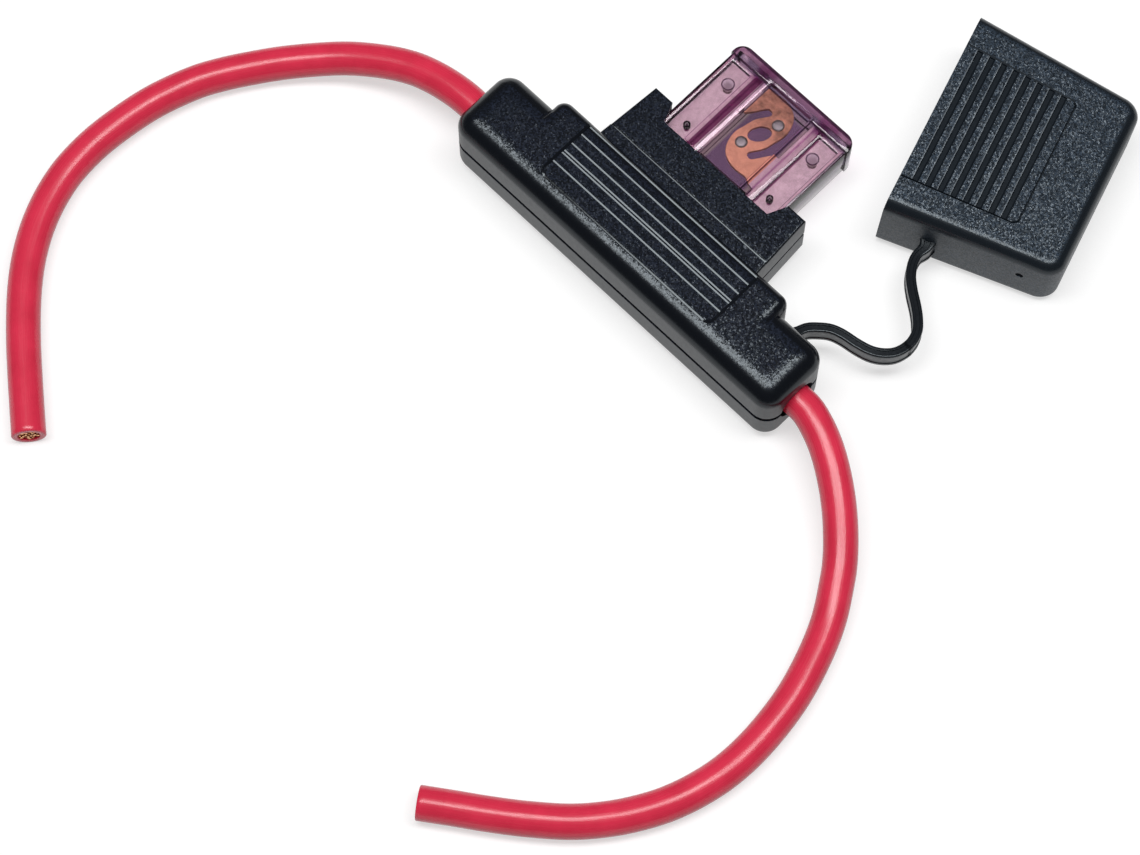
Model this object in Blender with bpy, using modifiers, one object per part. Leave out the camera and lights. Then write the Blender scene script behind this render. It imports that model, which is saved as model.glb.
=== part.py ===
"""Inline holder for a wide blade fuse, with its cap open on a moulded strap.

Units are metres. The holder lies on its rear face at z = 0. +X runs along the bar to the
right lead, +Y points from the bar to the fuse, +Z is the textured front face.
"""
import math

import bmesh
import bpy
from mathutils import Matrix, Vector

MM = 0.001

# Clearances and sheet gauges
FIT = 0.30            # gap between two pieces that touch
SLOT_FIT = 0.35       # play of a blade in its slot
SHEET = 0.80          # blade and terminal stock
CURL_T = 0.70         # receptacle lips
SPRING_T = 0.40       # over-spring stock
CHAMBER_ROOM = 0.40   # free room round the terminal

# Housing
H = 18.4              # thickness of the bar
ZC = H / 2            # parting plane, also the middle of fuse and leads
BAR_L = 40.6          # half length of the bar
BAR_W = 7.75          # half width of the bar
BAR_R = 3.6           # edge rounding of the bar
SHOULDER_STEP = 11.65 # length of the bar beyond the shoulder
SHOULDER_X = BAR_L - SHOULDER_STEP
SHOULDER_Y = 10.4     # top of the shoulder
SHOULDER_R = 2.2
NECK_Y = 24.6         # top of the neck
NECK_X = 19.1         # half width of the neck at its top
NECK_DRAFT = 0.068    # widening of the neck per unit of depth
NECK_T = 11.6         # thickness of the neck
LEDGE_Y = 13.3        # end of the thicker foot of the neck
LEDGE_T = 12.2
NOTCH_TOP = 14.85
NOTCH_BOTTOM = 13.1
NOTCH_Y = 20.6
POCKET_X = 14.95
POCKET_T = 9.5
POCKET_Y = 18.5       # floor of the pocket

# Rib panel of the housing
PANEL_X = 21.7
PANEL_Y = -3.9
PANEL_DEEP = 0.15
RIB_Y = -0.3          # first crest
RIB_PITCH = 2.41
RIB_COUNT = 5
RIB_W = 0.9
RIB_DEEP = 0.55

# Leads
WIRE_R = 3.2
CORE_R = 2.0
WIRE_IN = 28.0        # inner end of the insulation
CORE_IN = 17.3
WIRE_BORE = WIRE_R + FIT
RING_R = 4.1          # relief at the exit
RING_DEEP = 1.2

# Pins that line up the two shells
PIN_EDGE_X, PIN_EDGE_Y = 6.1, 2.35   # from the bar's end and side
PIN_R, PIN_UP = 1.0, 2.2

# Fuse
FUSE_X = 14.45        # half width of the fuse body
RIM_X = 14.75
FUSE_TOP = 43.2
FUSE_LONG = 34.3      # top of the fuse to its blade tips
RIM_Y = 40.3
RIM_T = 8.9
FUSE_T = 8.2
FUSE_BOTTOM = POCKET_Y + FIT
BLADE_TIP = FUSE_TOP - FUSE_LONG
BLADE_C = 10.2        # middle of a blade
BLADE_W = 3.6         # half width of a blade
ELEMENT_TOP = 41.0
LINK_C = (-0.3, 33.0)
LINK_ROOM_DOWN, LINK_ROOM_Z = 10.8, 1.6
STAKE = (10.6, 24.1)
STAKE_R = 0.65
POST = (10.8, 35.3)
POST_R = 1.0
WINDOW_X = 4.7
PANEL_IN, PANEL_OUT = 8.9, 13.3
PANEL_SINK, WINDOW_SINK = 0.35, 1.1
PELLET_R = 0.95
PELLET_AT = (1.3, 3.6)   # from the middle of the link

# Cap, in its own frame: x across, y from the open side to the closed side
CAP_D = 34.4
CAP_X0, CAP_X1 = 21.8, 19.2     # half width, open side and closed side
CAP_T0, CAP_T1 = 8.5, 7.3       # half thickness, open side and closed side
CAP_WALL_X0, CAP_WALL_X1 = 1.42, 1.5
CAP_WALL_Z = 1.9
CAP_END = 1.4
CAP_ROUND = 2.0
CAP_CORNER = 3.6
CAP_IN_ROUND = 1.6
CAP_TURN = -71.8                # about Z, from the closed position
CAP_OPEN_MID = (-11.4, 47.675)  # middle of the open side, from the strap's root
GRIP_X = 15.0
GRIP_D = 23.2
GRIP_DEEP = 0.25
GROOVE_FIRST = 2.9
GROOVE_PITCH = 2.5
GROOVE_COUNT = 8
GROOVE_W = 1.15
GROOVE_DEEP = 0.5

# Strap
STRAP_T = 1.95
STRAP_H = 4.2
STRAP_JOIN = 9.5                # distance of its joint from the open side of the cap
STRAP_EDGE_X = 8.6              # root, from the bar's end
STRAP_ROOT = (BAR_L - STRAP_EDGE_X, BAR_W + FIT + STRAP_T / 2)
# Points of the strap's middle line, from its root
STRAP_ROUTE = [(0, 0), (0.7, 1.925), (2.2, 3.575), (3.9, 4.925), (6.1, 5.725), (9.1, 6.275), (11.8, 7.075),
               (13.9, 8.475), (15.35, 10.475), (15.85, 13.275), (15.1, 15.975), (13.4, 17.975), (11.5, 19.575),
               (9, 21.375), (6.9, 23.175), (5.35, 25.275), (4.6, 27.375)]

# Lead routes from their exits: x, y, and the height as a share of the way from the floor to the exit
LEFT_ROUTE = [(0, 0, 1), (-4, 0.05, 0.983), (-8, -0.3, 0.932), (-12, -1, 0.847), (-16.1, -2.2, 0.729),
              (-20.9, -4.6, 0.576), (-26.6, -8.4, 0.356), (-31.5, -12.9, 0.169), (-35.8, -17.7, 0.051),
              (-39.3, -22.5, 0), (-42.1, -27, 0), (-44.6, -32, 0), (-47, -39.4, 0), (-48.2, -46.4, 0),
              (-48.7, -53.5, 0), (-48.2, -60.2, 0), (-46.9, -65.5, 0), (-44.9, -70.5, 0), (-42.4, -75, 0),
              (-39, -79.7, 0), (-34.5, -84.6, 0), (-29, -89.7, 0), (-23.9, -94, 0), (-19, -98, 0),
              (-14.4, -101.7, 0)]
RIGHT_ROUTE = [(0, 0, 1), (2.8, -0.1, 0.992), (5.7, -0.9, 0.966), (9, -2.2, 0.898), (12.5, -4.1, 0.814),
               (16.4, -6.7, 0.678), (19.8, -9.4, 0.542), (22.9, -12.3, 0.407), (25.5, -15.1, 0.288),
               (27.9, -18.3, 0.186), (31.9, -24.8, 0.034), (34.9, -32, 0), (37.2, -40.2, 0), (38.3, -49, 0),
               (38.2, -56.5, 0), (37, -63, 0), (34.9, -69.1, 0), (31.9, -74.7, 0), (28.5, -79.5, 0),
               (24.5, -83.9, 0), (18.9, -88.7, 0), (13.6, -92.7, 0), (8.9, -96, 0), (3.6, -99.8, 0)]
LEAD_REST = 0.1       # height of a resting lead's underside
LEAD_STEP = 2.2       # spacing of the lead's points, in diameters

for old in list(bpy.data.objects):
    bpy.data.objects.remove(old, do_unlink=True)

scene = bpy.context.scene
parts = bpy.data.collections.new("inline_fuse_holder")
cutters = bpy.data.collections.new("cutters")
scene.collection.children.link(parts)
scene.collection.children.link(cutters)


def material(name, colour, metallic=0.0, rough=0.5, transmission=0.0, ior=1.5):
    mat = bpy.data.materials.new(name)
    mat.use_nodes = True
    shader = mat.node_tree.nodes["Principled BSDF"]
    shader.inputs["Base Color"].default_value = (*colour, 1.0)
    shader.inputs["Metallic"].default_value = metallic
    shader.inputs["Roughness"].default_value = rough
    shader.inputs["Transmission Weight"].default_value = transmission
    shader.inputs["IOR"].default_value = ior
    mat.diffuse_color = (*colour, 1.0)
    return mat


def place(obj, cutter=False, mat=None, at=None):
    (cutters if cutter else parts).objects.link(obj)
    if cutter:
        obj.hide_render = True
        obj.display_type = "WIRE"
    if mat is not None:
        obj.data.materials.clear()
        obj.data.materials.append(mat)
    if at is not None:
        obj.matrix_world = at
    return obj


def block(name, x0, x1, y0, y1, z0, z1, **where):
    """A box between two corners, in millimetres."""
    mesh = bpy.data.meshes.new(name)
    bm = bmesh.new()
    bmesh.ops.create_cube(bm, size=1.0)
    for v in bm.verts:
        v.co = Vector(((x0 + x1) / 2 + v.co.x * (x1 - x0), (y0 + y1) / 2 + v.co.y * (y1 - y0),
                       (z0 + z1) / 2 + v.co.z * (z1 - z0))) * MM
    bm.to_mesh(mesh)
    bm.free()
    return place(bpy.data.objects.new(name, mesh), **where)


def drafted(name, y0, y1, half_x0, half_x1, half_z0, half_z1, weights=None, **where):
    """A box whose width and thickness change evenly from y0 to y1; weights scale its edge rounding."""
    mesh = bpy.data.meshes.new(name)
    bm = bmesh.new()
    bmesh.ops.create_cube(bm, size=2.0)
    for v in bm.verts:
        far = v.co.y > 0
        v.co = Vector((v.co.x * (half_x1 if far else half_x0), y1 if far else y0,
                       v.co.z * (half_z1 if far else half_z0))) * MM
    if weights is not None:
        layer = bm.edges.layers.float.new("bevel_weight_edge")
        for e in bm.edges:
            a, b = (v.co / MM for v in e.verts)
            along_y = abs(a.y - b.y) > 1.0
            closed = not along_y and a.y > (y0 + y1) / 2
            upright = abs(a.z - b.z) > 1.0
            e[layer] = weights[0] if along_y else (weights[1] if upright else weights[0]) if closed else 0.0
    bm.to_mesh(mesh)
    bm.free()
    return place(bpy.data.objects.new(name, mesh), **where)


def rod(name, axis, centre, radius, a, b, sides=24, **where):
    """A cylinder along one axis from a to b; centre gives the two other coordinates."""
    mesh = bpy.data.meshes.new(name)
    bm = bmesh.new()
    turn = {"x": Matrix.Rotation(math.pi / 2, 4, "Y"), "y": Matrix.Rotation(-math.pi / 2, 4, "X"),
            "z": Matrix.Identity(4)}[axis]
    mid = (a + b) / 2
    spot = {"x": (mid, centre[0], centre[1]), "y": (centre[0], mid, centre[1]),
            "z": (centre[0], centre[1], mid)}[axis]
    bmesh.ops.create_cone(bm, cap_ends=True, cap_tris=False, segments=sides, radius1=radius * MM,
                          radius2=radius * MM, depth=(b - a) * MM,
                          matrix=Matrix.Translation(Vector(spot) * MM) @ turn)
    for f in bm.faces:
        f.smooth = len(f.verts) == 4
    bm.to_mesh(mesh)
    bm.free()
    return place(bpy.data.objects.new(name, mesh), **where)


FRAMES = {"xy": lambda u, v, w: (u, v, w), "xz": lambda u, v, w: (u, w, v), "yz": lambda u, v, w: (w, u, v)}


def plate(name, outline, a, b, plane="xy", holes=(), **where):
    """One closed outline in a plane, with holes if given, made solid from a to b across it."""
    if not holes:
        put = FRAMES[plane]
        return loft(name, [[put(u, v, w) for u, v in outline] for w in (a, b)], smooth=False, **where)
    curve = bpy.data.curves.new(name, "CURVE")
    curve.dimensions = "2D"
    curve.fill_mode = "BOTH"
    curve.extrude = (b - a) / 2 * MM
    for ring in [outline, *holes]:
        spline = curve.splines.new("POLY")
        spline.points.add(len(ring) - 1)
        for p, (u, v) in zip(spline.points, ring):
            p.co = (u * MM, v * MM, 0.0, 1.0)
        spline.use_cyclic_u = True
    holder = bpy.data.objects.new(name + "_outline", curve)
    scene.collection.objects.link(holder)
    bpy.context.view_layer.update()
    mesh = bpy.data.meshes.new_from_object(holder.evaluated_get(bpy.context.evaluated_depsgraph_get()))
    bpy.data.objects.remove(holder, do_unlink=True)
    bm = bmesh.new()
    bm.from_mesh(mesh)
    bmesh.ops.remove_doubles(bm, verts=bm.verts, dist=0.00001)
    bmesh.ops.translate(bm, vec=(0, 0, (a + b) / 2 * MM), verts=bm.verts)
    bmesh.ops.recalc_face_normals(bm, faces=bm.faces)
    out = bpy.data.meshes.new(name)
    bm.to_mesh(out)
    bm.free()
    bpy.data.meshes.remove(mesh)
    return place(bpy.data.objects.new(name, out), **where)


def loft(name, rings, smooth=True, **where):
    """A closed tube through rings of equal length, with flat ends."""
    mesh = bpy.data.meshes.new(name)
    bm = bmesh.new()
    loops = [[bm.verts.new(Vector(p) * MM) for p in ring] for ring in rings]
    n = len(loops[0])
    for a, b in zip(loops, loops[1:]):
        for i in range(n):
            j = (i + 1) % n
            bm.faces.new((a[i], a[j], b[j], b[i])).smooth = smooth
    bm.faces.new(list(reversed(loops[0])))
    bm.faces.new(loops[-1])
    bmesh.ops.recalc_face_normals(bm, faces=bm.faces)
    bm.to_mesh(mesh)
    bm.free()
    return place(bpy.data.objects.new(name, mesh), **where)


def rounded(obj, width, segments=3, by_weight=False, angle=30):
    mod = obj.modifiers.new("rounding", "BEVEL")
    mod.width = width * MM
    mod.segments = segments
    mod.limit_method = "WEIGHT" if by_weight else "ANGLE"
    mod.angle_limit = math.radians(angle)
    return obj


def combine(obj, other, how="DIFFERENCE"):
    mod = obj.modifiers.new(how.lower(), "BOOLEAN")
    mod.operation = how
    mod.solver = "EXACT"
    mod.object = other
    return obj


def smooth_route(points, step):
    """Even points on the smooth curve through the given ones, ends kept."""
    pts = [Vector(p) for p in points]
    pts = [pts[0] * 2 - pts[1]] + pts + [pts[-1] * 2 - pts[-2]]
    fine = []
    for p0, p1, p2, p3 in zip(pts, pts[1:], pts[2:], pts[3:]):
        for k in range(12):
            t = k / 12
            fine.append(0.5 * (2 * p1 + (p2 - p0) * t + (2 * p0 - 5 * p1 + 4 * p2 - p3) * t * t
                               + (3 * p1 - p0 - 3 * p2 + p3) * t ** 3))
    fine.append(pts[-2])
    dist = [0.0]
    for a, b in zip(fine, fine[1:]):
        dist.append(dist[-1] + (b - a).length)
    count = max(2, round(dist[-1] / step))
    out, k = [], 0
    for i in range(count + 1):
        want = dist[-1] * i / count
        while k < len(fine) - 2 and dist[k + 1] < want:
            k += 1
        t = (want - dist[k]) / max(1e-9, dist[k + 1] - dist[k])
        out.append(fine[k].lerp(fine[k + 1], min(1.0, t)))
    return out


def arc(cx, cy, rx, ry, a0, a1, n):
    return [(cx + rx * math.cos(math.radians(a0 + (a1 - a0) * i / n)),
             cy + ry * math.sin(math.radians(a0 + (a1 - a0) * i / n))) for i in range(n + 1)]


# Housing: bar, shoulder and neck joined, then split at the parting plane
black = (0.012, 0.013, 0.016)


def neck_half(y):
    return NECK_X + NECK_DRAFT * (NECK_Y - y)


def shell(name, mat, z_cut):
    obj = block(name, -BAR_L, BAR_L, -BAR_W, BAR_W, 0.0, H, mat=mat)
    rounded(obj, BAR_R, 4)
    combine(obj, shoulder, "UNION")
    combine(obj, neck, "UNION")
    combine(obj, ledge, "UNION")
    combine(obj, z_cut)
    for tool in (pocket, notch, terminal_left, terminal_right, slot_left, slot_right,
                 bore_left, bore_right, relief_left, relief_right):
        combine(obj, tool)
    return obj


def tool(fn, *args, **extra):
    return fn(*args, cutter=True, **extra)


shoulder = rounded(tool(block, "shoulder", -SHOULDER_X, SHOULDER_X, -2.0, SHOULDER_Y, 0.0, H), SHOULDER_R, 3)
neck = tool(plate, "neck", [(-neck_half(2), 2.0), (neck_half(2), 2.0), (NECK_X, NECK_Y), (-NECK_X, NECK_Y)],
            ZC - NECK_T / 2, ZC + NECK_T / 2)
rounded(neck, 0.4, 2)
ledge = tool(plate, "ledge", [(-neck_half(2) + 0.05, 2.0), (neck_half(2) - 0.05, 2.0),
                              (neck_half(LEDGE_Y) - 0.05, LEDGE_Y), (-neck_half(LEDGE_Y) + 0.05, LEDGE_Y)],
             ZC - LEDGE_T / 2, ZC + LEDGE_T / 2)
pocket = tool(block, "pocket", -POCKET_X, POCKET_X, POCKET_Y, NECK_Y + 2, ZC - POCKET_T / 2, ZC + POCKET_T / 2)
notch = tool(plate, "notch", [(-NOTCH_BOTTOM, NOTCH_Y), (NOTCH_BOTTOM, NOTCH_Y), (NOTCH_TOP + 0.5, NECK_Y + 1.2),
                              (-NOTCH_TOP - 0.5, NECK_Y + 1.2)], ZC - NECK_T, ZC + NECK_T)
chamber_half = BLADE_W + FIT + CURL_T + FIT + SPRING_T + CHAMBER_ROOM
chamber_z = SHEET / 2 + FIT + SHEET + FIT + SPRING_T + CHAMBER_ROOM
BOX_IN, BOX_OUT = BLADE_C - chamber_half, BLADE_C + chamber_half
REC_Y0, REC_Y1 = BLADE_TIP + 0.4, POCKET_Y - 1.7      # receptacle
TONGUE_Z = ZC - SHEET / 2 - FIT - SHEET
TONGUE_Y = -2.7
box_y0, box_y1 = TONGUE_Y - 0.6, REC_Y1 + CHAMBER_ROOM
slot_half = BLADE_W + SLOT_FIT
slot_z = SHEET / 2 + SLOT_FIT
terminal_right = tool(block, "terminal_right", BOX_IN, BOX_OUT + 1.0, box_y0, box_y1, ZC - chamber_z, ZC + chamber_z)
terminal_left = tool(block, "terminal_left", -BOX_OUT - 1.0, -BOX_IN, box_y0, box_y1, ZC - chamber_z, ZC + chamber_z)
slot_right = tool(block, "slot_right", BLADE_C - slot_half, BLADE_C + slot_half, box_y1 - 0.7, POCKET_Y + 1,
                  ZC - slot_z, ZC + slot_z)
slot_left = tool(block, "slot_left", -BLADE_C - slot_half, -BLADE_C + slot_half, box_y1 - 0.7, POCKET_Y + 1,
                 ZC - slot_z, ZC + slot_z)
bore_right = tool(rod, "bore_right", "x", (0.0, ZC), WIRE_BORE, CORE_IN - 1.2, BAR_L + 1)
bore_left = tool(rod, "bore_left", "x", (0.0, ZC), WIRE_BORE, -BAR_L - 1, -CORE_IN + 1.2)
relief_right = tool(rod, "relief_right", "x", (0.0, ZC), RING_R, BAR_L - RING_DEEP, BAR_L + 1)
relief_left = tool(rod, "relief_left", "x", (0.0, ZC), RING_R, -BAR_L - 1, -BAR_L + RING_DEEP)
below = tool(block, "below_parting", -BAR_L - 5, BAR_L + 5, -BAR_W - 5, NECK_Y + 5, -5, ZC + FIT / 2)
above = tool(block, "above_parting", -BAR_L - 5, BAR_L + 5, -BAR_W - 5, NECK_Y + 5, ZC - FIT / 2, H + 5)

rib_profile = [(PANEL_Y, H - PANEL_DEEP)]
for k in range(RIB_COUNT):
    y = RIB_Y + k * RIB_PITCH
    rib_profile += [(y - RIB_W / 2, H - PANEL_DEEP), (y, H - RIB_DEEP), (y + RIB_W / 2, H - PANEL_DEEP)]
rib_profile += [(SHOULDER_Y + 1, H - PANEL_DEEP), (SHOULDER_Y + 1, H + 1), (PANEL_Y, H + 1)]
ribs = tool(plate, "ribs", rib_profile, -PANEL_X, PANEL_X, "yz")

front = shell("housing_front", material("front_shell_plastic", black, rough=0.45), below)
combine(front, ribs)
rear = shell("housing_rear", material("rear_shell_plastic", black, rough=0.45), above)

pin_x, pin_y = BAR_L - PIN_EDGE_X, BAR_W - PIN_EDGE_Y
PINS = [(-pin_x, pin_y), (-pin_x, -pin_y), (pin_x, pin_y), (pin_x, -pin_y), (0.0, 0.0)]
for i, (x, y) in enumerate(PINS):
    pin = tool(rod, f"pin_{i}", "z", (x, y), PIN_R, ZC - 2.0, ZC + PIN_UP, sides=12)
    hole = tool(rod, f"pin_hole_{i}", "z", (x, y), PIN_R + FIT, ZC - 1.0, ZC + PIN_UP + FIT, sides=12)
    combine(rear, pin, "UNION")
    combine(front, hole)

# Leads and their stripped cores
red = (0.62, 0.015, 0.045)


def lead(name, side, route, mat):
    third, low = (BAR_L - WIRE_IN) / 3, WIRE_R + LEAD_REST
    inner = [(side * (WIRE_IN + third * k), 0.0, ZC) for k in range(3)]
    outer = [(side * BAR_L + x, y, low + (ZC - low) * share) for x, y, share in route]
    pts = smooth_route(inner + outer, LEAD_STEP * 2 * WIRE_R)
    curve = bpy.data.curves.new(name, "CURVE")
    curve.dimensions = "3D"
    curve.bevel_depth = WIRE_R * MM
    curve.bevel_resolution = 4
    curve.use_fill_caps = True
    spline = curve.splines.new("POLY")
    spline.points.add(len(pts) - 1)
    for p, q in zip(spline.points, pts):
        p.co = (*(q * MM), 1.0)
    spline.use_smooth = True
    place(bpy.data.objects.new(name, curve), mat=mat)


lead("lead_left", -1, LEFT_ROUTE, material("left_lead_insulation", red, rough=0.35))
lead("lead_right", 1, RIGHT_ROUTE, material("right_lead_insulation", red, rough=0.35))
copper = (0.72, 0.33, 0.16)
rod("wire_core_left", "x", (0.0, ZC), CORE_R, -WIRE_IN + FIT, -CORE_IN,
    mat=material("left_core_copper", copper, 1.0, 0.4))
rod("wire_core_right", "x", (0.0, ZC), CORE_R, CORE_IN, WIRE_IN - FIT,
    mat=material("right_core_copper", copper, 1.0, 0.4))

# Terminals: receptacle, tongue and crimp barrel in one stamping

def flip(points, side):
    return [(side * x, y) for x, y in (points if side > 0 else reversed(points))]


def terminal(name, side, mat):
    c, w, t = BLADE_C, BLADE_W + FIT, CURL_T
    low, floor = TONGUE_Z, TONGUE_Z + SHEET
    under, top = ZC + SHEET / 2 + FIT, ZC + SHEET / 2 + FIT + t
    curl = [(c - w - t, low), (c + w + t, low), (c + w + t, top), (c + 0.8, top), (c + 0.8, under), (c + w, under),
            (c + w, floor), (c - w, floor), (c - w, under), (c - 0.8, under), (c - 0.8, top), (c - w - t, top)]
    obj = plate(name, flip(curl, side), REC_Y0, REC_Y1, "xz", mat=mat)
    tongue = [(c - 2.8, REC_Y0 + 0.6), (c + 3.3, REC_Y0 + 0.6), (c + 3.3, 4.6), (CORE_IN - 0.4, 3.2),
              (CORE_IN - 0.4, TONGUE_Y), (c + 0.4, TONGUE_Y), (c - 2.8, 0.6)]
    combine(obj, tool(plate, name + "_tongue", flip(list(reversed(tongue)), side), low, floor), "UNION")
    barrel = arc(0, ZC, CORE_R + FIT + SHEET, CORE_R + FIT + SHEET, 112, 428, 22)
    barrel += arc(0, ZC, CORE_R + FIT, CORE_R + FIT, 428, 112, 22)
    a, b = sorted((side * (CORE_IN - 0.8), side * (WIRE_IN - 2.5)))
    combine(obj, tool(plate, name + "_barrel", barrel, a, b, "yz"), "UNION")


def spring(name, side, mat):
    c, w, t = BLADE_C, BLADE_W + FIT + CURL_T + FIT, SPRING_T
    low, top = TONGUE_Z - FIT - t, ZC + SHEET / 2 + FIT + CURL_T + FIT + t
    clip = [(c - w - t, low), (c + w + t, low), (c + w + t, top), (c + 0.6, top), (c + 0.6, top - t),
            (c + w, top - t), (c + w, low + t), (c - w, low + t), (c - w, top - t), (c - 0.6, top - t),
            (c - 0.6, top), (c - w - t, top)]
    plate(name, flip(clip, side), REC_Y0 + 1.3, REC_Y1 - 1.2, "xz", mat=mat)


tin = (0.78, 0.78, 0.76)
terminal("contact_left", -1, material("left_contact_tin_plate", tin, 1.0, 0.3))
terminal("contact_right", 1, material("right_contact_tin_plate", tin, 1.0, 0.3))
spring("contact_spring_left", -1, material("left_spring_steel", (0.55, 0.56, 0.58), 1.0, 0.28))
spring("contact_spring_right", 1, material("right_spring_steel", (0.55, 0.56, 0.58), 1.0, 0.28))

# Fuse element: blades and link in one stamping
half_link = [(5.0, -1.2), (4.3, -2.0), (2.57, -4.64), (2.1, -4.9), (1.46, -4.87), (1.05, -4.4), (1.23, -3.76),
             (2.6, -1.6), (3.2, 0.8), (3.6, 3.2), (2.9, 5.9), (1.4, 7.5), (-1.0, 8.3), (-4.0, 8.1)]
cx, cy = LINK_C
blade_in, blade_out = BLADE_C - BLADE_W, BLADE_C + BLADE_W
outline = [(-blade_out, ELEMENT_TOP), (-blade_out, BLADE_TIP + 1.2), (-blade_out + 0.9, BLADE_TIP),
           (-blade_in - 0.9, BLADE_TIP), (-blade_in, BLADE_TIP + 1.2), (-blade_in, cy + 1.2)]
outline += [(cx - u, cy - v) for u, v in half_link]
outline += [(blade_in, cy - 8.0), (blade_in, BLADE_TIP + 1.2), (blade_in + 0.9, BLADE_TIP),
            (blade_out - 0.9, BLADE_TIP), (blade_out, BLADE_TIP + 1.2), (blade_out, ELEMENT_TOP),
            (blade_in, ELEMENT_TOP), (blade_in, cy - 1.2)]
outline += [(cx + u, cy + v) for u, v in half_link]
outline += [(-blade_in, ELEMENT_TOP)]
tilt = math.radians(56.5)
oval = [(cx + 2.3 * math.cos(a) * math.cos(tilt) - 1.5 * math.sin(a) * math.sin(tilt),
         cy + 2.3 * math.cos(a) * math.sin(tilt) + 1.5 * math.sin(a) * math.cos(tilt))
        for a in (2 * math.pi * i / 18 for i in range(18))]
holes = [oval]
for s in (-1, 1):
    holes.append(arc(cx + s * PELLET_AT[0], cy + s * PELLET_AT[1], PELLET_R + FIT, PELLET_R + FIT, 0, 330, 11))
    holes.append(arc(s * POST[0], POST[1], POST_R + FIT, POST_R + FIT, 0, 330, 11))
plate("fuse_element", outline, ZC - SHEET / 2, ZC + SHEET / 2, holes=holes,
      mat=material("element_copper_alloy", (0.80, 0.36, 0.20), 1.0, 0.35))
for name, s in (("fuse_pellet_upper", 1), ("fuse_pellet_lower", -1)):
    rod(name, "z", (cx + s * PELLET_AT[0], cy + s * PELLET_AT[1]), PELLET_R, ZC - 0.6, ZC + 0.6, sides=16,
        mat=material(name + "_tin", (0.45, 0.46, 0.48), 1.0, 0.5))

# Fuse body
body = block("fuse_body", -FUSE_X, FUSE_X, FUSE_BOTTOM, RIM_Y + 0.6, ZC - FUSE_T / 2, ZC + FUSE_T / 2,
             mat=material("fuse_body_plastic", (0.62, 0.28, 0.50), rough=0.08, transmission=0.9, ior=1.5))
rounded(body, 0.25, 1)
rim_outline = [(-RIM_X, RIM_Y), (RIM_X, RIM_Y)] + arc(RIM_X - 2.4, FUSE_TOP - 2.4, 2.4, 2.4, 0, 90, 5)
rim_outline += arc(-RIM_X + 2.4, FUSE_TOP - 2.4, 2.4, 2.4, 90, 180, 5)
rim = rounded(tool(plate, "rim", rim_outline, ZC - RIM_T / 2, ZC + RIM_T / 2), 0.3, 1, angle=50)
combine(body, rim, "UNION")
cavity_half = BLADE_W + FIT
for tag, mid in (("left", -BLADE_C), ("right", BLADE_C)):
    combine(body, tool(block, "blade_room_" + tag, mid - cavity_half, mid + cavity_half, FUSE_BOTTOM - 1, ELEMENT_TOP + FIT,
                       ZC - SHEET / 2 - FIT, ZC + SHEET / 2 + FIT))
combine(body, tool(block, "link_room", -BLADE_C + cavity_half - 0.5, BLADE_C - cavity_half + 0.5,
                   LINK_C[1] - LINK_ROOM_DOWN, ELEMENT_TOP + 0.6, ZC - LINK_ROOM_Z, ZC + LINK_ROOM_Z))
skin = FUSE_T / 2
for tag, z0, z1 in (("front", ZC + skin - PANEL_SINK, ZC + FUSE_T), ("back", ZC - FUSE_T, ZC - skin + PANEL_SINK)):
    combine(body, tool(block, "panel_left_" + tag, -PANEL_OUT, -PANEL_IN, FUSE_BOTTOM - 1, RIM_Y - 1.0, z0, z1))
    combine(body, tool(block, "panel_right_" + tag, PANEL_IN, PANEL_OUT, FUSE_BOTTOM - 1, RIM_Y - 1.0, z0, z1))
for tag, z0, z1 in (("front", ZC + skin - WINDOW_SINK, ZC + FUSE_T), ("back", ZC - FUSE_T, ZC - skin + WINDOW_SINK)):
    combine(body, tool(block, "window_" + tag, -WINDOW_X, WINDOW_X, FUSE_BOTTOM - 1, ELEMENT_TOP + 0.2, z0, z1))
for tag, s in (("left", -1), ("right", 1)):
    post = tool(rod, "post_" + tag, "z", (s * POST[0], POST[1]), POST_R, ZC - 1.4, ZC + 1.4, sides=12)
    combine(body, post, "UNION")
    combine(body, tool(rod, "test_hole_" + tag, "z", (s * STAKE[0], STAKE[1]), STAKE_R, ZC - FUSE_T, ZC + FUSE_T,
                       sides=10))

# Cap: built on the strap's joint, lying on one drafted face
lean = math.atan2(CAP_T0 - CAP_T1, CAP_D)
turn = math.radians(CAP_TURN)
side_run = math.atan2(CAP_X0 - CAP_X1, CAP_D)
strap_end_r = STRAP_T / 2
join_x = CAP_X0 - (CAP_X0 - CAP_X1) * STRAP_JOIN / CAP_D
reach = FIT + strap_end_r
joint_local = Vector((join_x + reach * math.cos(side_run), STRAP_JOIN + reach * math.sin(side_run), 0.0))
open_mid = (STRAP_ROOT[0] + CAP_OPEN_MID[0], STRAP_ROOT[1] + CAP_OPEN_MID[1])
pose = (Matrix.Translation(Vector((*open_mid, CAP_T0 * math.cos(lean))) * MM)
        @ Matrix.Rotation(turn, 4, "Z") @ Matrix.Rotation(-lean, 4, "X"))
strap_end = pose @ (joint_local * MM)
cap_frame = Matrix.Translation(strap_end) @ Matrix.Rotation(turn, 4, "Z") @ Matrix.Rotation(-lean, 4, "X")


def in_cap(obj):
    """Moves a shape of the cap's frame on to the strap's joint."""
    for v in obj.data.vertices:
        v.co -= joint_local * MM
    obj.matrix_world = cap_frame
    return obj


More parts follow.
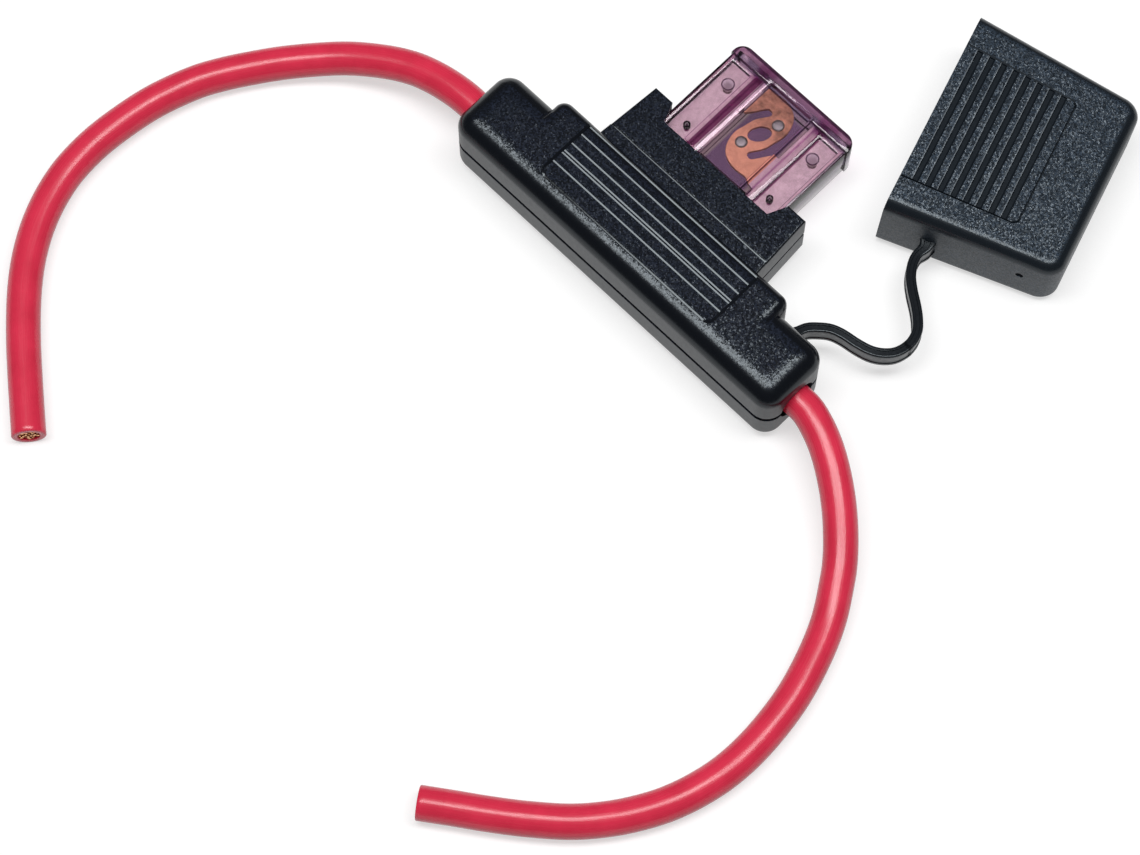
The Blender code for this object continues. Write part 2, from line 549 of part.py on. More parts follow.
cap = in_cap(drafted("cap", 0.0, CAP_D, CAP_X0, CAP_X1, CAP_T0, CAP_T1, weights=(CAP_ROUND / CAP_CORNER, 1.0),
                     mat=material("cap_plastic", black, rough=0.45)))
rounded(cap, CAP_CORNER, 4, by_weight=True)
hollow = in_cap(tool(drafted, "cap_hollow", -1.0, CAP_D - CAP_END, CAP_X0 - CAP_WALL_X0 + 0.08, CAP_X1 - CAP_WALL_X1,
                     CAP_T0 - CAP_WALL_Z, CAP_T1 - CAP_WALL_Z + 0.05, weights=(0.4, 1.0)))
rounded(hollow, CAP_IN_ROUND, 2, by_weight=True)
combine(cap, hollow)
grip_profile = [(-1.0, -GRIP_DEEP)]
for k in range(GROOVE_COUNT):
    y = GROOVE_FIRST + k * GROOVE_PITCH
    grip_profile += [(y - GROOVE_W / 2, -GRIP_DEEP), (y - 0.15, -GRIP_DEEP - GROOVE_DEEP),
                     (y + 0.15, -GRIP_DEEP - GROOVE_DEEP), (y + GROOVE_W / 2, -GRIP_DEEP)]
grip_profile += [(GRIP_D, -GRIP_DEEP), (GRIP_D, 1.5), (-1.0, 1.5)]
grip = tool(plate, "grip", grip_profile, -GRIP_X, GRIP_X, "yz")
grip.data.transform(Matrix.Translation((0, 0, CAP_T0 * MM)) @ Matrix.Rotation(-lean, 4, "X"))
in_cap(grip)
combine(cap, grip)

# Strap: a ribbon on edge from the bar to the cap, round at both ends
route = [Vector((STRAP_ROOT[0] + x, STRAP_ROOT[1] + y, 0.0)) for x, y in STRAP_ROUTE]
route.append(Vector((strap_end.x / MM, strap_end.y / MM, 0.0)))
z_start, z_stop = ZC, strap_end.z / MM - 1.6
line = smooth_route(route, 2.0)
total = sum((b - a).length for a, b in zip(line, line[1:]))
first, last = (line[0] - line[1]).normalized(), (line[-1] - line[-2]).normalized()
stations = [(line[0] + first * strap_end_r * k, strap_end_r * math.sqrt(1 - k * k)) for k in (0.97, 0.8, 0.45)]
stations += [(p, strap_end_r) for p in line]
stations += [(line[-1] + last * strap_end_r * k, strap_end_r * math.sqrt(1 - k * k)) for k in (0.45, 0.8, 0.97)]
rings, gone = [], 0.0
for i, (p, half) in enumerate(stations):
    if i:
        gone += (p - stations[i - 1][0]).length
    ahead = stations[min(i + 1, len(stations) - 1)][0] - stations[max(i - 1, 0)][0]
    across = Vector((-ahead.y, ahead.x, 0.0)).normalized()
    z = z_start + (z_stop - z_start) * min(1.0, gone / total)
    edge = min(0.35, half * 0.5)
    tall = STRAP_H / 2
    ring = [(half, edge - tall), (half, tall - edge), (half - edge, tall), (edge - half, tall),
            (-half, tall - edge), (-half, edge - tall), (edge - half, -tall), (half - edge, -tall)]
    rings.append([(p.x + across.x * u, p.y + across.y * u, z + v) for u, v in ring])
strap = loft("cap_strap", rings, mat=material("strap_plastic", black, rough=0.45))
root = Vector((*STRAP_ROOT, ZC)) * MM
strap.data.transform(Matrix.Translation(-root))
strap.location = root
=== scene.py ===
"""Inline holder for a wide blade fuse, cap open on its strap, on a white table.

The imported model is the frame. Every visible piece is worked out here as a numpy surface, in
millimetres, and put on its body. z = 0 is the table, +X runs along the bar, +Y points to the fuse.
"""
import math

import bmesh
import bpy
import numpy as np
from mathutils import Matrix, Vector


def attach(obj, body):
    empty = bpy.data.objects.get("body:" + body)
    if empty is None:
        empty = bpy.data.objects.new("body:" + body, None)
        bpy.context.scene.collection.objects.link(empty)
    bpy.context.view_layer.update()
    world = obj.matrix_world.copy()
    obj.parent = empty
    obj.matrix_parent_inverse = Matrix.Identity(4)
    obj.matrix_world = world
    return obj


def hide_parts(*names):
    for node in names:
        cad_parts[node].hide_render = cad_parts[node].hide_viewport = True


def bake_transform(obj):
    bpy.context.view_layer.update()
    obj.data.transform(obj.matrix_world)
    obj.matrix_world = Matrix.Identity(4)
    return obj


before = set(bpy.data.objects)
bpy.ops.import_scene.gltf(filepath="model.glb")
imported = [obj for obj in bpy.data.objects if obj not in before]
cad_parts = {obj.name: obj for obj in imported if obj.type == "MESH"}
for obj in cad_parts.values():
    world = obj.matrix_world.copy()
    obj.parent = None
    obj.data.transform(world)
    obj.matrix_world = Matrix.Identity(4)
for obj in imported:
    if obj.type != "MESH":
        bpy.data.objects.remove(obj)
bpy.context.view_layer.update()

# Sizes that several pieces share
MM = 0.001
H = 18.4                                   # thickness of the bar
ZC = H / 2                                 # parting plane, also the middle of fuse and leads
FIT = 0.30                                 # gap between the two shells
BAR_L, BAR_W, BAR_R = 40.6, 7.75, 3.6      # half length, half width and end rounding of the bar

# Fuse, whose plastic is tinted by place too
FUSE_X, FUSE_T, FUSE_BOTTOM, FUSE_TOP = 14.45, 8.2, 18.8, 43.2
RIM_X, RIM_T, RIM_Y = 14.75, 8.9, 40.3
WINDOW_X, WINDOW_TOP, WINDOW_DEEP = 4.9, 40.8, 1.1
REAR_WINDOW_X = 5.6                        # wider, so that its walls hide behind the blades
PANE_IN, PANE_OUT, PANE_TOP, PANE_DEEP = 8.9, 13.3, 39.1, 0.8
POST, STAKE = (10.8, 35.3), (10.6, 24.1)   # post through a blade, and test hole over its dint

# Camera
VIEW_TURN, VIEW_UP, VIEW_AWAY = 44.754, 70.015, 675.2   # degrees from -Y, degrees, mm
VIEW_AIM = (14.964, -32.39, 8.0)
VIEW_FOCAL, PHOTO_WIDE = 3734.3, 1140                   # in pixels of the photograph


def studio_camera():
    """The photograph's view through a long lens."""
    az, el = math.radians(VIEW_TURN), math.radians(VIEW_UP)
    away = Vector((math.sin(az) * math.cos(el), -math.cos(az) * math.cos(el), math.sin(el)))
    data = bpy.data.cameras.new("camera")
    data.lens = VIEW_FOCAL / PHOTO_WIDE * data.sensor_width
    data.clip_start, data.clip_end = 0.01, 20.0
    cam = new_object("camera", data)
    cam.location = (Vector(VIEW_AIM) + away * VIEW_AWAY) * MM
    cam.rotation_euler = (-away).to_track_quat("-Z", "Y").to_euler()
    bpy.context.scene.camera = cam


def new_object(name, data):
    obj = bpy.data.objects.new(name, data)
    bpy.context.scene.collection.objects.link(obj)
    return obj


studio_camera()


# Mesh helpers


def quads(rows, cols, closed=False):
    """Corner numbers of the quads of a grid of points; closed joins the last column to the first."""
    i = np.arange(rows - 1)[:, None]
    j = np.arange(cols if closed else cols - 1)[None, :]
    a, b = i * cols + j, i * cols + (j + 1) % cols
    return np.stack([a, b, b + cols, a + cols], -1).reshape(-1, 4)


def clean_mesh(mesh):
    """Doubles merged, slivers gone, faces turned outwards."""
    bm = bmesh.new()
    bm.from_mesh(mesh)
    bmesh.ops.remove_doubles(bm, verts=bm.verts, dist=1e-6)
    bmesh.ops.dissolve_degenerate(bm, edges=bm.edges, dist=1e-7)
    bmesh.ops.recalc_face_normals(bm, faces=bm.faces)
    bm.to_mesh(mesh)
    bm.free()


def solid(name, points, faces, lids=()):
    """Closed piece from points in mm, quads, and lids of any number of corners."""
    mesh = bpy.data.meshes.new(name)
    mesh.from_pydata((np.asarray(points, float).reshape(-1, 3) * MM).tolist(), [],
                     np.asarray(faces).tolist() + [list(map(int, lid)) for lid in lids])
    clean_mesh(mesh)
    return new_object(name, mesh)


def tube(name, rings):
    """Closed piece from rings of points, one after another, with a lid on the first and the last."""
    rings = np.asarray(rings, float)
    count, n = rings.shape[:2]
    return solid(name, rings, quads(count, n, True), [range(n), range((count - 1) * n, count * n)])


def at_height(xy, z):
    """Points of a flat outline at height z."""
    return np.column_stack([xy, np.full(len(xy), z)])


def prism(name, outline, z0, z1):
    """Closed outline in x and y, carried straight up from z0 to z1."""
    xy = np.asarray(outline, float)
    return tube(name, [at_height(xy, z0), at_height(xy, z1)])


def box_solid(name, x0, x1, y0, y1, z0, z1):
    return prism(name, [(x0, y0), (x1, y0), (x1, y1), (x0, y1)], z0, z1)


def turned(name, axis, centre, profile, sides=48):
    """A profile of (distance along the x or z axis, radius) pairs, turned round that axis."""
    p = np.asarray(profile, float)
    t = np.arange(sides) * 2 * np.pi / sides
    along_it = np.repeat(p[:, :1], sides, 1)
    c, s = centre[0] + p[:, 1:] * np.cos(t), centre[1] + p[:, 1:] * np.sin(t)
    return tube(name, np.stack((along_it, c, s) if axis == "x" else (c, s, along_it), -1))


def shade(obj, angle):
    """Smooth shading, with sharp edges past the angle in degrees."""
    obj.data.shade_smooth()
    obj.data.set_sharp_from_angle(angle=math.radians(angle))
    return obj


def cut(obj, tools, how="DIFFERENCE"):
    """obj with each tool taken away from it, or joined to it; the tools go."""
    for tool in tools:
        mod = obj.modifiers.new("cut", "BOOLEAN")
        mod.operation, mod.solver, mod.object = how, "EXACT", tool
    bpy.context.view_layer.update()
    mesh = bpy.data.meshes.new_from_object(obj.evaluated_get(bpy.context.evaluated_depsgraph_get()))
    obj.modifiers.clear()
    old, obj.data = obj.data, mesh
    bpy.data.meshes.remove(old)
    for tool in tools:
        bpy.data.objects.remove(tool, do_unlink=True)
    return obj


def finish_piece(obj, mat, body, nodes):
    """Give a piece its material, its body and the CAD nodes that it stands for."""
    obj.data.materials.clear()
    obj.data.materials.append(mat)
    if nodes:
        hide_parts(*nodes)
    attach(obj, body)


def fan(r0, r1, n):
    """n + 1 distances from r0 to r1 at which a quarter round has equal turns."""
    return r0 + (r1 - r0) * (1 - np.cos(np.linspace(0, np.pi / 2, n + 1)))


def round_off(end, r, count, turn=np.pi / 2):
    """Stations at equal turns of a round of radius r that would reach its end at a quarter turn."""
    return end - r + r * np.sin(np.linspace(0, turn, count))


def stations(*parts, digits=4):
    """The grid lines of all parts in rising order, each once."""
    return np.unique(np.round(np.concatenate(parts), digits))


def both_sides(half):
    """Stations from 0 outwards, mirrored to the other side."""
    return np.concatenate([-half[:0:-1], half])


def rounded_inside(x, y, x0, x1, y0, y1, r):
    """Distance inwards from a rectangle with corners of radius r; negative outside it."""
    dx = np.abs(x - (x0 + x1) / 2) - ((x1 - x0) / 2 - r)
    dy = np.abs(y - (y0 + y1) / 2) - ((y1 - y0) / 2 - r)
    outside = np.hypot(np.maximum(dx, 0), np.maximum(dy, 0)) + np.minimum(np.maximum(dx, dy), 0)
    return r - outside


def rounded_edge(x, x1, y1, r):
    """Upper edge, at each x, of a plate that ends at x1 and y1 with corners of radius r."""
    k = np.clip(np.abs(x) - (x1 - r), 0, r)
    return y1 - r + np.sqrt(np.maximum(r ** 2 - k ** 2, 0))


def edge_drop(d, r, wide=None):
    """How far a face lies below its level at distance d from the edge: a quarter round of height r,
    and as wide as it is high unless wide is given."""
    wide = wide or r
    k = np.clip(wide - d, 0, wide) / wide
    return r * (1 - np.sqrt(np.maximum(1 - k * k, 0)))


def two_skins(name, x, y, top, bottom):
    """A closed solid between two height fields on one grid of x and y, with upright walls."""
    rows, cols = x.shape
    pts = np.concatenate([np.stack([x, y, z], -1).reshape(-1, 3) for z in (top, bottom)])
    q = quads(rows, cols)
    n = rows * cols
    last = (rows - 1) * cols
    ring = np.concatenate([np.arange(cols), np.arange(1, rows) * cols + cols - 1,
                           np.arange(last + cols - 2, last - 1, -1), np.arange(last - cols, 0, -cols)])
    after = np.roll(ring, -1)
    walls = np.stack([ring, after, after + n, ring + n], -1)
    return solid(name, pts, np.concatenate([q, q[:, ::-1] + n, walls]))


def run_of(line):
    """Length along a line of points, from its start to each point."""
    return np.concatenate([[0], np.cumsum(np.linalg.norm(np.diff(line, axis=0), axis=1))])


def smooth_line(points, step):
    """Even points, step apart, on the smooth curve through the given ones."""
    p = np.asarray(points, float)
    p = np.vstack([2 * p[0] - p[1], p, 2 * p[-1] - p[-2]])
    t = np.linspace(0, 1, 24, endpoint=False)[:, None]
    part = [0.5 * (2 * b + (c - a) * t + (2 * a - 5 * b + 4 * c - d) * t ** 2
                   + (3 * b - a - 3 * c + d) * t ** 3) for a, b, c, d in zip(p, p[1:], p[2:], p[3:])]
    fine = np.vstack(part + [p[-2:-1]])
    run = run_of(fine)
    want = np.linspace(0, run[-1], max(2, round(run[-1] / step)) + 1)
    return np.stack([np.interp(want, run, fine[:, k]) for k in range(fine.shape[1])], -1)


def along(line):
    """Unit directions of a line of points, and two unit normals that don't spin about it."""
    d = np.gradient(line, axis=0)
    d /= np.linalg.norm(d, axis=1)[:, None]
    side = np.cross(np.broadcast_to([0.0, 0.0, 1.0], d.shape), d)
    side /= np.linalg.norm(side, axis=1)[:, None]
    return d, side, np.cross(d, side)


# Materials


class Nodes:
    """A tree of nodes. Its methods take numbers, colours or sockets of other nodes, and give back a
    socket. An input is named with _ for a space."""

    def __init__(self, tree):
        self.tree = tree

    def feed(self, socket, value):
        """Link a socket to an input, or write a number, vector or colour on it."""
        if isinstance(value, bpy.types.NodeSocket):
            self.tree.links.new(value, socket)
        elif socket.type == "RGBA":
            socket.default_value = (*value, 1)
        else:
            socket.default_value = value

    def node(self, kind, **values):
        """New node; a value goes to the input of its name, or else to the node's own setting."""
        n = self.tree.nodes.new(kind)
        for key, value in values.items():
            name = key.replace("_", " ")
            if name in n.inputs:
                self.feed(n.inputs[name], value)
            else:
                setattr(n, key, value)
        return n

    def point(self, kind="Object"):
        """Coordinates, the object's own by default."""
        return self.node("ShaderNodeTexCoord").outputs[kind]

    def stretched(self, point, scale):
        return self.node("ShaderNodeMapping", Vector=point, Scale=scale).outputs["Vector"]

    def mesh_value(self, name):
        """A number that the mesh carries on its faces."""
        return self.node("ShaderNodeAttribute", attribute_name=name).outputs["Fac"]

    def noise(self, scale, detail=2.0, rough=0.5, at=None):
        n = self.node("ShaderNodeTexNoise", Scale=scale, Detail=detail, Roughness=rough)
        self.feed(n.inputs["Vector"], at or self.point())
        return n.outputs["Fac"]

    def spread(self, value, lo, hi, a=0.3, b=0.7):
        """lo to hi as the value goes from a to b."""
        m = self.node("ShaderNodeMapRange", Value=value, From_Min=a, From_Max=b, To_Min=lo, To_Max=hi)
        return m.outputs["Result"]

    def maths(self, how, a, b):
        m = self.node("ShaderNodeMath", operation=how)
        self.feed(m.inputs[0], a)
        self.feed(m.inputs[1], b)
        return m.outputs["Value"]

    def vector(self, how, a, b=None):
        """Vector maths; where it scales, b is the number, and a distance gives a number."""
        m = self.node("ShaderNodeVectorMath", operation=how)
        self.feed(m.inputs[0], a)
        if b is not None:
            self.feed(m.inputs["Scale" if how == "SCALE" else 1], b)
        return m.outputs["Value" if how == "DISTANCE" else "Vector"]

    def split(self, point):
        """x, y and z of a point."""
        m = self.node("ShaderNodeSeparateXYZ")
        self.feed(m.inputs[0], point)
        return tuple(m.outputs)

    def mix(self, factor, a, b, blend="MIX"):
        """Colour a where the factor is 0 and b where it is 1."""
        m = self.node("ShaderNodeMix", data_type="RGBA", blend_type=blend, Factor=factor)
        for socket, value in zip([s for s in m.inputs if s.type == "RGBA"], (a, b)):
            self.feed(socket, value)
        return next(s for s in m.outputs if s.type == "RGBA")


class Finish(Nodes):
    """A material round a Principled shader."""

    def __init__(self, name, colour, rough, metallic=0.0, **extra):
        self.mat = bpy.data.materials.new(name)
        self.mat.use_nodes = True
        super().__init__(self.mat.node_tree)
        self.shader = self.tree.nodes["Principled BSDF"]
        self.set(Base_Color=colour, Roughness=rough, Metallic=metallic, **extra)

    def set(self, **values):
        """Feed the shader's own inputs."""
        for key, value in values.items():
            self.feed(self.shader.inputs[key.replace("_", " ")], value)

    def bump(self, height, distance, strength):
        b = self.node("ShaderNodeBump", Strength=strength, Distance=distance, Height=height)
        self.set(Normal=b.outputs["Normal"])


def moulded_black(name, colour, cell, tilt, glint_gain, shine):
    """Black moulded plastic. Where the grain value is 1 it has spark texture: small facets, each turned its
    own way, and each painted lighter in its own tone, by up to the given factor, as painted glints. Where it
    is 0 it is smooth. finish is its roughness, and the sheen value mixes in a pale blue grey: a painted
    highlight on the lips of the cap's grooves and a painted lighter tone on the walls."""
    look = Finish(name, colour, 0.25, Specular_IOR_Level=shine, Specular_Tint=(0.86, 0.95, 1.0))
    at, grain = look.point(), look.mesh_value("grain")
    normal = look.node("ShaderNodeNewGeometry").outputs["Normal"]
    tones = []
    for scale, amount in ((cell, tilt), (cell * 2.1, tilt * 0.5)):
        facets = look.node("ShaderNodeTexVoronoi", Vector=at, Scale=scale).outputs["Color"]
        tones.append(facets)
        centred = look.vector("SUBTRACT", facets, (0.5, 0.5, 0.5))
        turned_by = look.vector("SCALE", centred, look.maths("MULTIPLY", grain, amount))
        normal = look.vector("ADD", normal, turned_by)
    red = look.node("ShaderNodeSeparateColor", Color=tones[0]).outputs["Red"]
    # painted glints: each facet's own tone lifts its colour where there is grain
    painted_glint = look.maths("MULTIPLY", look.maths("POWER", red, 1.5), grain)
    tone = look.mix(painted_glint, colour, tuple(c * (1 + glint_gain) for c in colour))
    uneven = look.spread(look.noise(1400.0, 3.0, 0.6, at), -0.03, 0.03)
    # painted sheen: a pale blue grey mixed in, a painted highlight on lips and a painted lighter tone on
    # walls
    look.set(Normal=look.vector("NORMALIZE", normal),
             Base_Color=look.mix(look.mesh_value("painted_sheen"), tone, (0.15, 0.17, 0.19)),
             Roughness=look.maths("ADD", look.mesh_value("finish"), uneven))
    return look.mat


def red_insulation():
    """Extruded red jacket: satin gloss, faint lengthwise drawing marks, slight tone changes."""
    look = Finish("red_insulation", (0.74, 0.030, 0.075), 0.26)
    run = look.node("ShaderNodeUVMap", uv_map="run").outputs["UV"]
    marks = look.noise(1.0, 3.0, 0.6, look.stretched(run, (60.0, 1.2, 1.0)))
    cloud = look.spread(look.noise(160.0, 3.0, 0.6), 0, 1)
    look.set(Base_Color=look.mix(cloud, (0.69, 0.026, 0.066), (0.80, 0.034, 0.084)),
             Roughness=look.spread(marks, 0.22, 0.31))
    look.bump(marks, 0.00004, 0.5)
    return look.mat


def metal(name, dark, light, rough, scale, stretch=(1, 1, 1)):
    """Bare or plated metal with rolled or drawn streaks."""
    look = Finish(name, light, rough, metallic=1.0)
    grain = look.noise(scale, 3.0, 0.6, look.stretched(look.point(), stretch))
    look.set(Base_Color=look.mix(look.spread(grain, 0, 1), dark, light),
             Roughness=look.spread(grain, rough - 0.08, rough + 0.1))
    look.bump(grain, 0.00003, 0.5)
    return look.mat


def plated_link():
    """Copper-coloured link between tin-plated blades. The plating starts at 5.5 mm from the middle. Each
    blade has painted shade in dark purple: a band beside the link, under the rib, and a spot on the dint
    under the test hole. Heat has stained the upper half of the link."""
    # the third colour is painted shade, a dark purple
    copper, tin, painted_shade = (0.96, 0.53, 0.33), (0.90, 0.84, 0.87), (0.24, 0.06, 0.18)
    look = Finish("plated_link", copper, 0.42, metallic=0.35)
    flat = look.vector("MULTIPLY", look.vector("ABSOLUTE", look.point()), (1000.0, 1000.0, 0.0))
    x, y, _ = look.split(flat)
    plated = look.spread(x, 0, 1, 5.45, 5.55)
    # painted shade: a band on each blade beside the link
    shade_band = look.maths("MULTIPLY", look.spread(x, 0, 1, 7.25, 7.35), look.spread(x, 1, 0, 8.55, 8.65))
    # painted shade: a spot on the dint under each test hole
    dint = look.spread(look.vector("DISTANCE", flat, (*STAKE, 0.0)), 1, 0, 0.46, 0.54)
    clean = look.mix(look.maths("MAXIMUM", shade_band, dint), look.mix(plated, copper, tin), painted_shade)
    grain, stain = look.noise(1500.0, 3.0, 0.6), look.noise(520.0, 4.0, 0.65)
    upper = look.maths("MULTIPLY", look.spread(x, 1, 0, 5, 6), look.spread(y, 0.0, 0.55, 31.0, 36.0))
    heated = look.maths("MULTIPLY", upper, look.spread(stain, 1.0, 0.4))
    stained = look.maths("SUBTRACT", look.spread(stain, 0.80, 1.0, 0.38, 0.62), heated)
    cloudy = look.maths("MULTIPLY", stained, look.spread(grain, 0.85, 1.0))
    shades = look.mix(cloudy, (0.0, 0.0, 0.0), (1.0, 1.0, 1.0))
    look.set(Base_Color=look.mix(1.0, clean, shades, "MULTIPLY"), Roughness=look.spread(grain, 0.34, 0.48))
    look.bump(grain, 0.00003, 0.5)
    return look.mat


def clear_violet():
    """See-through violet plastic whose colour deepens with its thickness. Its colour also carries painted
    light by place: painted shade on the rear window's floor, on the outer walls and on the top, painted
    purple shade over the ribs, painted dark lines and painted white highlights along the moulded edges of the
    front, a painted glint on the rim, a painted dark ring and grey face over each post and painted black in
    each test hole; the rim is greyer. It is frosted over each post. Lamp light passes straight through it to
    the metal inside."""
    face = (0.60, 0.565, 0.56)
    look = Finish("clear_violet", face, 0.03, Transmission_Weight=1.0, IOR=1.49)
    spot = look.point()
    away = look.vector("SCALE", look.vector("ABSOLUTE", spot), 1000.0)
    flat = look.vector("MULTIPLY", away, (1.0, 1.0, 0.0))
    x, y, z = look.split(away)
    signed_x = look.split(spot)[0]
    right = look.spread(signed_x, 0, 1, -1e-5, 1e-5)
    left = look.spread(signed_x, 1, 0, -1e-5, 1e-5)

    def area(across=(None, None), up_y=(None, None), above=None, soft=0.06, side=None, below=None):
        """1 where |x|, y and z lie between their limits, each with a soft border; None sets no limit.
        side keeps one side of the middle only."""
        part = side
        for value, (a, b) in ((x, across), (y, up_y), (z, (above, below))):
            for at, lo, hi in ((a, 0, 1), (b, 1, 0)):
                if at is not None:
                    step = look.spread(value, lo, hi, at - soft, at + soft)
                    part = look.maths("MULTIPLY", part, step) if part else step
        return part

    def disc(centre, r, low):
        """1 within r of a spot on either side, above z = low only."""
        near = look.spread(look.vector("DISTANCE", flat, (*centre, 0.0)), 1, 0, r - 0.05, r + 0.05)
        return look.maths("MULTIPLY", near, look.spread(z, 0, 1, low, low + 0.1))

    # colours of painted shade, painted purple shade and painted highlights
    dark, purple_shade, white = (0.03, 0.015, 0.035), (0.24, 0.09, 0.22), (1.0, 0.98, 1.0)
    metal_top, wall, pane, front = 9.8, 11.0, 12.2, 12.8    # heights above which a tint starts
    low = 20.0                                              # under the neck's edge, out of sight
    tint_and_painted_light = face
    for part, colour in (
            # painted shade on the rear window's floor, a greyer rim, painted purple shade in a stripe along
            # the ribs and in a patch over the ribs' ends, a painted glint on the rim
            (area((None, WINDOW_X + 0.1), (low, WINDOW_TOP + 0.4), below=ZC), (0.33, 0.24, 0.40)),
            (area(up_y=(RIM_Y, None)), (0.45, 0.43, 0.50)),
            (area((7.0, 7.45), (low, WINDOW_TOP + 0.4), front, 0.15), purple_shade),
            (area((6.6, 8.8), (RIM_Y - 0.9, None), soft=0.4), purple_shade),
            (area((11.6, 13.0), (41.1, 42.1), soft=0.3), (1.0, 1.0, 1.0)),
            # painted shade along the outer, upper and inner edge of the side panels
            (area((PANE_OUT - 0.06, PANE_OUT + 0.22), (low, PANE_TOP + 0.2), wall), dark),
            (area((PANE_IN - 0.2, PANE_OUT + 0.1), (PANE_TOP - 0.02, PANE_TOP + 0.22), wall), dark),
            (area((PANE_IN - 0.28, PANE_IN + 0.02), (low, PANE_TOP + 0.2), wall), purple_shade),
            # painted highlight on the window's left wall and painted shade at its foot, a painted highlight
            # and a painted shade line on its right, painted shade on its upper edge and beside its left wall
            (area((5.0, 5.95), (low, WINDOW_TOP - 0.1), wall, side=left), white),
            (area((4.86, 5.02), (low, WINDOW_TOP + 0.2), wall), dark),
            (area((5.24, 5.44), (low, WINDOW_TOP - 0.1), front, side=right), white),
            (area((5.48, 5.84), (low, WINDOW_TOP + 0.2), front, side=right), dark),
            (area((None, 5.0), (WINDOW_TOP - 0.02, WINDOW_TOP + 0.2), wall), dark),
            (area((5.97, 6.16), (low, WINDOW_TOP + 0.4), wall, side=left), dark),
            # painted shade: a line under the rim, darker outer walls and top, and dark rounded front edges
            (area((None, 14.2), (RIM_Y - 0.25, RIM_Y + 0.15), wall), dark),
            (area((14.3, None)), (0.09, 0.08, 0.12)),
            (area(up_y=(FUSE_TOP - 0.25, None)), (0.36, 0.30, 0.38)),
            (area((13.98, None), above=13.0), dark),
            (area(up_y=(FUSE_TOP - 0.75, None), above=13.3), dark),
            # painted shade: a dark ring and a grey face over each post, black in each test hole
            (disc(POST, 1.3, pane), dark),
            (disc(POST, 1.02, pane), (0.42, 0.41, 0.46)),
            (disc(STAKE, 0.7, metal_top), (0.0, 0.0, 0.0))):
        tint_and_painted_light = look.mix(part, tint_and_painted_light, colour)
    ripple = look.noise(240.0, 2.0, 0.5)
    frosted = look.maths("MULTIPLY", disc(POST, 1.0, metal_top), 0.6)
    look.set(Base_Color=tint_and_painted_light, Roughness=look.maths("ADD", frosted, look.spread(ripple, 0.02, 0.05)))
    look.bump(ripple, 0.00005, 0.25)

    out = next(n for n in look.tree.nodes if n.type == "OUTPUT_MATERIAL")
    depth = look.node("ShaderNodeVolumeAbsorption", Color=(0.66, 0.16, 0.44), Density=140.0)
    through = look.node("ShaderNodeBsdfTransparent", Color=(0.94, 0.91, 0.94))
    either = look.node("ShaderNodeMixShader")
    look.feed(either.inputs[0], look.node("ShaderNodeLightPath").outputs["Is Shadow Ray"])
    look.feed(either.inputs[1], look.shader.outputs["BSDF"])
    look.feed(either.inputs[2], through.outputs["BSDF"])
    look.feed(out.inputs["Surface"], either.outputs["Shader"])
    look.feed(out.inputs["Volume"], depth.outputs["Volume"])
    return look.mat


black_shell = moulded_black("black_shell", (0.0024, 0.0032, 0.0058), 3700.0, 0.17, 5.0, 0.42)
black_cap = moulded_black("black_cap", (0.0068, 0.0098, 0.0142), 4200.0, 0.25, 5.6, 0.42)
black_strap = moulded_black("black_strap", (0.0060, 0.0075, 0.0105), 2600.0, 0.20, 1.0, 0.46)
red_jacket = red_insulation()
copper_strand = metal("copper_strand", (0.55, 0.26, 0.10), (0.90, 0.52, 0.26), 0.32, 1600.0, (1, 1, 0.3))
tin_plate = metal("tin_plate", (0.55, 0.55, 0.54), (0.80, 0.80, 0.78), 0.28, 700.0, (1, 0.15, 1))
spring_strip = metal("spring_strip", (0.38, 0.39, 0.41), (0.60, 0.61, 0.63), 0.24, 700.0, (0.15, 1, 1))
dull_tin = metal("dull_tin", (0.27, 0.31, 0.30), (0.42, 0.47, 0.45), 0.5, 2400.0)
link_metal = plated_link()
violet = clear_violet()


# Leads

WIRE_R, JACKET_R = 3.2, 2.08             # outside and inside of the insulation
WIRE_IN = 28.0                           # where the insulation starts, inside the bar
CUT_DEEP = 0.7                           # hollow round the strands in the cut end
STRAND_R, STRAND_LONG = 0.26, 6.0
STRAND_RINGS = ((0.0, 1), (0.56, 6), (1.12, 12), (1.68, 18))   # radius and count
LEFT_ROUTE = [
    (-40.6, 0.0, 9.2), (-44.6, 0.05, 9.1), (-48.6, -0.3, 8.8), (-52.6, -1.0, 8.3), (-56.7, -2.2, 7.6),
    (-61.5, -4.6, 6.7), (-67.2, -8.4, 5.4), (-72.1, -12.9, 4.3), (-76.4, -17.7, 3.6), (-79.9, -22.5, 3.3),
    (-82.7, -27.0, 3.3), (-85.2, -32.0, 3.3), (-87.6, -39.4, 3.3), (-88.8, -46.4, 3.3), (-89.3, -53.5, 3.3),
    (-88.8, -60.2, 3.3), (-87.5, -65.5, 3.3), (-85.5, -70.5, 3.3), (-83.0, -75.0, 3.3), (-79.6, -79.7, 3.3),
    (-75.1, -84.6, 3.3), (-69.6, -89.7, 3.3), (-64.5, -94.0, 3.3), (-59.6, -98.0, 3.3), (-55.0, -101.7, 3.3)]
RIGHT_ROUTE = [
    (40.6, 0.0, 9.2), (43.4, -0.1, 9.15), (46.3, -0.9, 9.0), (49.6, -2.2, 8.6), (53.1, -4.1, 8.1),
    (57.0, -6.7, 7.3), (60.4, -9.4, 6.5), (63.5, -12.3, 5.7), (66.1, -15.1, 5.0), (68.5, -18.3, 4.4),
    (72.5, -24.8, 3.5), (75.5, -32.0, 3.3), (77.8, -40.2, 3.3), (78.9, -49.0, 3.3), (78.8, -56.5, 3.3),
    (77.6, -63.0, 3.3), (75.5, -69.1, 3.3), (72.5, -74.7, 3.3), (69.1, -79.5, 3.3), (65.1, -83.9, 3.3),
    (59.5, -88.7, 3.3), (54.2, -92.7, 3.3), (49.5, -96.0, 3.3), (44.2, -99.8, 3.3)]


